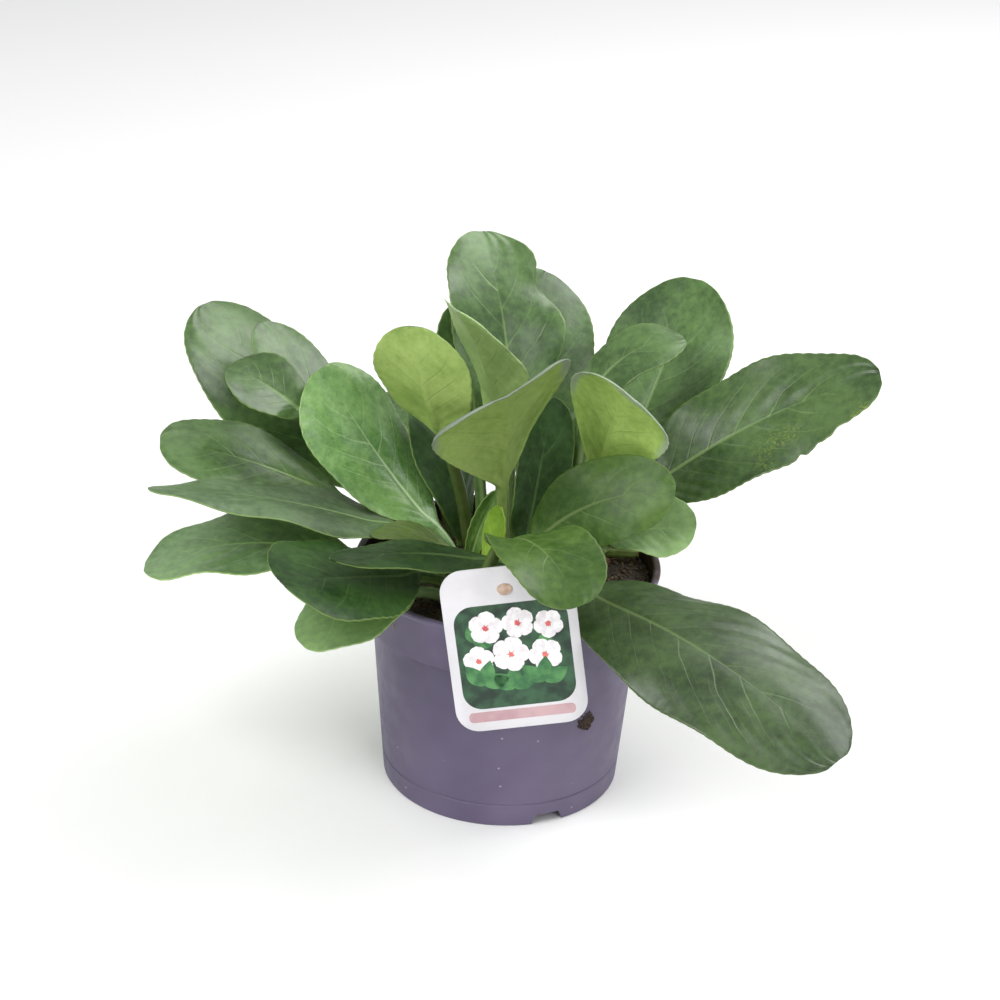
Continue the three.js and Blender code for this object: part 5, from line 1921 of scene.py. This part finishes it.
    def button(self) -> Piece:
        """The oval brown fixing head, domed.

        Returns:
            The piece.
        """
        angles = np.arange(40) * math.tau / 40
        rings = []
        for share, high in self.button_rings:
            x = self.button_at[0] + self.button_radii[0] * share * np.cos(angles)
            y = self.button_at[1] + self.button_radii[1] * share * np.sin(angles)
            rings.append(np.stack([x, y, np.full(len(angles), self.thickness + high + 0.01)], -1))
        made = moved(ring_mesh("card_button", np.array(rings)), self.place())
        finish = PrintFinish("button_tan", rgb(176, 146, 126), rgb(204, 178, 158), 300.0)
        made.data.materials.append(finish.build())
        return settle(made, "card")

    def build(self) -> list[Piece]:
        """Makes the card, its tongue, button and print.

        Returns:
            The pieces.
        """
        pieces = [self.plate(), self.tongue(), self.button()]
        angles = np.arange(36) * math.tau / 36
        circle = np.column_stack([np.cos(angles), np.sin(angles)])
        patches = (
            ("print_panel", self.rounded(*self.panel, self.panel_middle),
             PrintFinish("ink_deep_green", rgb(22, 46, 34), rgb(52, 92, 62), 130.0)),
            ("print_band", self.rounded(*self.band, self.band_middle),
             PrintFinish("ink_mauve", rgb(182, 146, 152), rgb(200, 166, 170))),
            ("print_spot", np.array(self.spot_middle) + self.spot_radius * circle,
             PrintFinish("ink_pale_green", rgb(188, 216, 172), rgb(204, 228, 190))),
        )
        pieces += [self.printed(*patch) for patch in patches]
        petal, leaf = self.petal(), self.leaf_form()
        hearts = tuple(Fan(flower.x, flower.y, flower.size * self.heart_share) for flower in self.flowers)
        leaf_green = PrintFinish("ink_leaf_green", rgb(44, 100, 58), rgb(86, 146, 84), 160.0)
        petal_white = PrintFinish("ink_petal_white", rgb(222, 216, 220), rgb(250, 248, 248), 300.0)
        coral = PrintFinish("ink_coral", rgb(204, 84, 92), rgb(226, 124, 112), 300.0)
        pieces += [
            self.wheels("print_foliage", leaf, self.foliage, 3, 2.0, leaf_green, 52.0),
            self.wheels("print_petals", petal, self.flowers, 5, 3.0, petal_white, 72.0),
            self.wheels("print_hearts", petal, hearts, 8, 4.2, coral, 45.0),
        ]
        for form in (petal, leaf):
            bpy.data.objects.remove(form)
        return pieces


@dataclass
class PotSoiling:
    """Soil that clings to the outside of the pot: a clump and root hairs over the rim, in mm."""

    clump_angle: float = -50.0
    clump_height: float = 55.0
    clump_radius: float = 5.5
    clump_density: float = 5.2e6
    clump_steps: int = 15
    hair_angles: tuple[float, ...] = (-136.0, -28.0, -22.0)
    hair_radius: float = 0.22
    hair_rows: int = 15
    hair_sides: int = 5
    hair_wander: float = 0.006
    hair_marks: tuple[float, ...] = (0.0, 0.25, 0.4, 1.0)
    hair_radii: tuple[float, ...] = (70.5, 74.0, 75.4, 75.0)
    hair_heights: tuple[float, ...] = (110.0, 116.3, 115.6)
    hair_end: float = 103.0
    seed: int = 31

    def build(self) -> list[Piece]:
        """Makes the clump and the hairs.

        Returns:
            The pieces.
        """
        return [self.clump(), self.hairs()]

    def clump(self) -> Piece:
        """Crumbs stuck on the pot's wall below the card's corner.

        Returns:
            The piece.
        """
        radius = NurseryPot().wall_radius(self.clump_height) + 0.15
        steps = np.linspace(-1, 1, self.clump_steps)
        points, weights = [], []
        for v in steps:
            for u in steps:
                angle = math.radians(self.clump_angle) + u * self.clump_radius / radius
                height = self.clump_height + v * self.clump_radius
                points.append((radius * math.cos(angle), radius * math.sin(angle), height))
                weights.append(max(1 - math.hypot(u, v), 0) ** 0.8)
        index = np.arange(len(points)).reshape(len(steps), -1)
        faces = np.stack([index[:-1, :-1], index[:-1, 1:], index[1:, 1:], index[1:, :-1]], -1).reshape(-1, 4)
        mesh = bpy.data.meshes.new("clump_patch")
        mesh.from_pydata([tuple(c * MM for c in p) for p in points], [], faces.tolist())
        mesh.attributes.new("thick", "FLOAT", "POINT").data.foreach_set("value", weights)
        patch = bpy.data.objects.new("clump_patch", mesh)
        form = crumb_form("clump_form", 6)
        finish = CompostFinish("clump_crumb", rgb(34, 25, 20), rgb(82, 60, 46), scale=500.0).build()
        scatter = Scatter("pot_dirt_clump", self.clump_density, 0.25, 0.8, 4, mask="thick")
        spread = scatter.build(patch, form, finish)
        bpy.data.objects.remove(form)
        bpy.data.objects.remove(patch)
        return settle(spread, "soil")

    def hairs(self) -> Piece:
        """Thin roots that hang over the rim.

        Returns:
            The piece.
        """
        random = np.random.default_rng(self.seed)
        steps = np.linspace(0, 1, self.hair_rows)
        shape = bmesh.new()
        for degrees in self.hair_angles:
            angles = math.radians(degrees) + np.cumsum(random.normal(0, self.hair_wander, self.hair_rows))
            radii = np.interp(steps, self.hair_marks, self.hair_radii)
            end = self.hair_end + 5 * random.random()
            heights = np.interp(steps, self.hair_marks, (*self.hair_heights, end))
            rows = [self.hair_ring(shape, *place) for place in zip(radii, heights, angles)]
            for low, high in zip(rows, rows[1:]):
                for k in range(self.hair_sides):
                    after = (k + 1) % self.hair_sides
                    shape.faces.new((low[k], low[after], high[after], high[k]))
            shape.faces.new(rows[0][::-1])
            shape.faces.new(rows[-1])
        bmesh.ops.recalc_face_normals(shape, faces=shape.faces)
        mesh = bpy.data.meshes.new("rim_root_hairs")
        shape.to_mesh(mesh)
        shape.free()
        made = add_piece("rim_root_hairs", mesh)
        finish = CompostFinish("root_hair", rgb(92, 70, 50), rgb(150, 122, 92), scale=800.0)
        made.data.materials.append(finish.build())
        return settle(made, "soil")

    def hair_ring(
        self, shape: bmesh.types.BMesh, radius: float, height: float, angle: float
    ) -> list[bmesh.types.BMVert]:
        """One ring of a hair's points round its middle, given by radius, height and angle."""
        outward = Vector((math.cos(angle), math.sin(angle), 0.0))
        sideways = Vector((-math.sin(angle), math.cos(angle), 1.0))
        ring = []
        for k in range(self.hair_sides):
            turn = math.tau * k / self.hair_sides
            off = (outward * math.cos(turn) + sideways * math.sin(turn)) * self.hair_radius
            ring.append(shape.verts.new((outward * radius + Vector((0, 0, height)) + off) * MM))
        return ring


@dataclass
class Studio:
    """White surroundings, soft lamps and the camera."""

    distance: float = 1.2096
    elevation: float = 25.7
    roll: float = 2.18
    aim: tuple[float, float, float] = (-0.00486, 0.0, 0.1482)
    lens: float = 90.0
    sensor: float = 36.0
    floor_side: float = 12.0
    lamp_aim: tuple[float, float, float] = (0.0, 0.0, 0.14)

    def build(self) -> None:
        """Makes the camera, the floor, the white surroundings and the lamps."""
        self.camera()
        self.floor()
        self.surroundings()
        self.lamp("key", (-0.9, -0.9, 1.5), 1.1, 23.0)
        self.lamp("fill", (0.8, -1.3, 1.1), 0.9, 8.0)
        self.lamp("back", (1.05, 0.75, 1.5), 1.3, 25.0)

    def camera(self) -> None:
        """Sets the camera in front of the plant, a little above it."""
        tilt = math.radians(self.elevation)
        data = bpy.data.cameras.new("view")
        data.lens, data.sensor_width = self.lens, self.sensor
        data.clip_start, data.clip_end = 0.05, 50.0
        camera = bpy.data.objects.new("view", data)
        back = Vector((0.0, -math.cos(tilt), math.sin(tilt)))
        look = (-back).to_track_quat("-Z", "Y").to_matrix().to_4x4()
        spin = Matrix.Rotation(math.radians(self.roll), 4, "Z")
        camera.matrix_world = Matrix.Translation(Vector(self.aim) + back * self.distance) @ look @ spin
        bpy.context.scene.collection.objects.link(camera)
        bpy.context.scene.camera = camera

    def floor(self) -> None:
        """Lays the plain pale floor under the pot."""
        mesh = bpy.data.meshes.new("floor")
        low, high = -self.floor_side / 2, self.floor_side / 2
        corners = [(low, low, 0), (high, low, 0), (high, high, 0), (low, high, 0)]
        mesh.from_pydata(corners, [], [(0, 1, 2, 3)])
        floor = add_piece("floor", mesh)
        material, graph, surface = new_material("floor_white")
        soft = graph.noise(graph.object_place(), 1.5)
        graph.feed(surface.inputs["Base Color"], graph.mix(soft, (0.95, 0.95, 0.95), (0.98, 0.98, 0.98)))
        surface.inputs["Roughness"].default_value = 0.9
        floor.data.materials.append(material)

    def surroundings(self) -> None:
        """Lights the scene from all sides with even white."""
        world = bpy.data.worlds.new("white_room")
        bpy.context.scene.world = world
        world.use_nodes = True
        graph = Graph(world.node_tree)
        light = graph.add("ShaderNodeBackground", {"Color": (1.0, 1.0, 1.0), "Strength": 0.45})
        graph.add("ShaderNodeOutputWorld", {"Surface": light.outputs[0]})

    def lamp(self, name: str, place: tuple[float, float, float], size: float, power: float) -> None:
        """Hangs a square soft lamp that points at the plant.

        Args:
            name: the lamp's name.
            place: its place in metres.
            size: its side in metres.
            power: its power in watts.
        """
        data = bpy.data.lights.new(name, "AREA")
        data.size, data.energy = size, power
        lamp = bpy.data.objects.new(name, data)
        spot = Vector(place)
        aim = Vector(self.lamp_aim) - spot
        lamp.matrix_world = Matrix.Translation(spot) @ aim.to_track_quat("-Z", "Y").to_matrix().to_4x4()
        bpy.context.scene.collection.objects.link(lamp)


def main() -> None:
    """Builds the potted plant over the frame."""
    logging.basicConfig(level=logging.INFO, format="%(message)s")
    bpy.context.scene.view_settings.view_transform = "Standard"
    Studio().build()
    NurseryPot().build()
    PottingSoil().build()
    Rootstocks().build()
    OldStalk().build()
    PlantCard().build()
    PotSoiling().build()
    grower = LeafBuilder()
    for leaf in LEAVES:
        settle(grower.build(leaf), leaf.tone.slot(), (leaf.name,))


if __name__ == "__main__":
    main()
